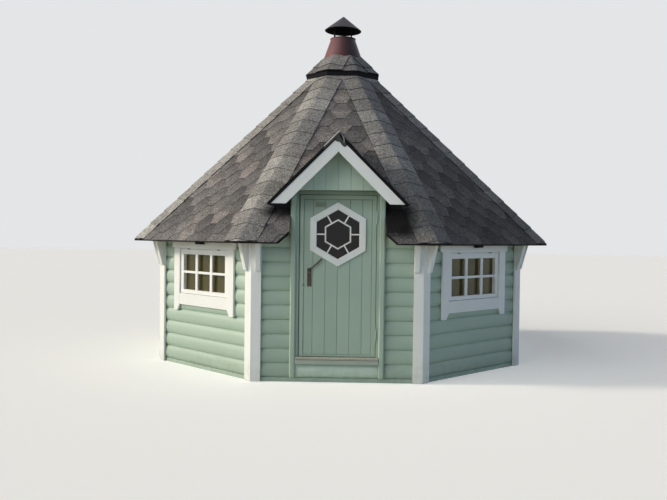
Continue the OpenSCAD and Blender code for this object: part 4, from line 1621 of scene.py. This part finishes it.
class CABIN_OT_stage(bpy.types.Operator):
    """Floor, lights and the camera at the photograph's angle"""

    bl_idname = "cabin.stage"
    bl_label = "Stage"

    def execute(self, context):
        scene = context.scene
        # Seen, the floor is pale and keeps the shadow; the light it sends back is dim and green
        tree = material_tree("pale studio floor")
        bounced = add(tree, "ShaderNodeLightPath")["Is Diffuse Ray"]
        looks = {
            "Base Color": layered(tree, linear("#f4f4f1"), (linear("#b2baa2"), bounced, 0, 1)),
            "Roughness": 0.9, "Specular IOR Level": 0.0, "Emission Color": linear("#f1f2f2"),
            "Emission Strength": add(tree, RANGE, (bounced, 0, 1, 0.36, 0))[0],
        }
        fill(tree, tree.nodes["Principled BSDF"], looks)
        disc = bmesh.new()
        bmesh.ops.create_circle(disc, cap_ends=True, segments=64, radius=60)
        mesh = mesh_of(disc, "floor", [bpy.data.materials["pale studio floor"]])
        ground = bpy.data.objects.new("studio_floor", mesh)
        scene.collection.objects.link(ground)

        scene.world = bpy.data.worlds.new("pale studio")
        scene.world.use_nodes = True
        tree = scene.world.node_tree
        tree.nodes.clear()
        node = partial(add, tree)
        path = node("ShaderNodeLightPath")
        seen = path["Is Camera Ray"]
        for ray in ("Is Glossy Ray", "Is Transmission Ray"):
            seen = node(MATH, (seen, path[ray]), operation="MAXIMUM")[0]
        way = node(AXES, {"Vector": node("ShaderNodeTexCoord")["Generated"]})
        dome = product(tree, (way["Z"], 0.02, 0.28, 3.0, 0.07), (way["X"], -0.3, 0.7, 0.22, 1.0))
        lit = node("ShaderNodeBackground", {"Color": linear("#b4cef6"), "Strength": dome})[0]
        shown = node("ShaderNodeBackground", {"Color": linear("#eef0f2"), "Strength": 0.9})[0]
        both = node("ShaderNodeMixShader", (seen, lit, shown))[0]
        node("ShaderNodeOutputWorld", {"Surface": both})

        for name, strength, degrees, tint, come_from in (
            ("key light", 2.1, 7, "#fff2df", (-0.92, -0.05, 0.38)),
            ("fill light", 1.7, 60, "#fbfaf6", (-0.73, -0.55, 0.41)),
        ):
            sun = bpy.data.lights.new(name, "SUN")
            sun.energy, sun.angle, sun.color = strength, math.radians(degrees), linear(tint)[:3]
            lamp = bpy.data.objects.new(name, sun)
            lamp.rotation_mode = "QUATERNION"
            lamp.rotation_quaternion = Vector(come_from).to_track_quat("Z", "Y")
            scene.collection.objects.link(lamp)

        # Focal length and width are the photograph's, in pixels
        camera = bpy.data.cameras.new("camera")
        camera.sensor_width = 36
        camera.lens = 764.17 / 667 * 36
        camera.clip_end = 200
        yaw, pitch, roll = -0.0214, -0.0201, 0.0124
        ahead = Vector((math.sin(yaw), math.cos(yaw), 0))
        right, up = Vector((math.cos(yaw), -math.sin(yaw), 0)), Vector((0, 0, 1))
        looking = ahead * math.cos(pitch) + up * math.sin(pitch)
        tilted = up * math.cos(pitch) - ahead * math.sin(pitch)
        side = right * math.cos(roll) + tilted * math.sin(roll)
        top = tilted * math.cos(roll) - right * math.sin(roll)
        scene.camera = bpy.data.objects.new("camera", camera)
        scene.camera.matrix_world = Matrix.LocRotScale(
            Vector((0.1204, -9.6865, 1.4814)),
            Matrix((side, top, -looking)).transposed().to_quaternion(),
            None,
        )
        scene.collection.objects.link(scene.camera)
        scene.view_settings.view_transform = "Standard"
        return {"FINISHED"}


OPERATORS = [
    CABIN_OT_finishes, CABIN_OT_log_walls, CABIN_OT_roof_boards, CABIN_OT_shingles,
    CABIN_OT_hip_caps, CABIN_OT_cap_tier, CABIN_OT_dormer, CABIN_OT_dormer_ridge, CABIN_OT_gable,
    CABIN_OT_corner_trim, CABIN_OT_windows, CABIN_OT_door_bay, CABIN_OT_door,
    CABIN_OT_hardware, CABIN_OT_chimney, CABIN_OT_floor, CABIN_OT_stage,
]


class CABIN_PT_panel(bpy.types.Panel):
    """Buttons for each group of pieces"""

    bl_idname = "CABIN_PT_panel"
    bl_label = "Grill cabin"
    bl_space_type = "VIEW_3D"
    bl_region_type = "UI"
    bl_category = "Cabin"

    def draw(self, context):
        """Shows every setting and a button for each step."""
        for group in (context.scene.cabin_sizes, context.scene.cabin_colours):
            box = self.layout.box()
            for name in group.__annotations__:
                box.prop(group, name)
        for operator in OPERATORS:
            self.layout.operator(operator.bl_idname)


CLASSES = [CabinSizes, CabinColours, *OPERATORS, CABIN_PT_panel]


def register():
    """Makes the classes and their settings known."""
    for cls in CLASSES:
        bpy.utils.register_class(cls)
    bpy.types.Scene.cabin_sizes = bpy.props.PointerProperty(type=CabinSizes)
    bpy.types.Scene.cabin_colours = bpy.props.PointerProperty(type=CabinColours)


def unregister():
    """Takes back what register does."""
    del bpy.types.Scene.cabin_sizes
    del bpy.types.Scene.cabin_colours
    for cls in reversed(CLASSES):
        bpy.utils.unregister_class(cls)


def main():
    """Makes every piece and the stage."""
    register()
    for operator in OPERATORS:
        group, name = operator.bl_idname.split(".")
        getattr(getattr(bpy.ops, group), name)()


if __name__ == "__main__":
    main()
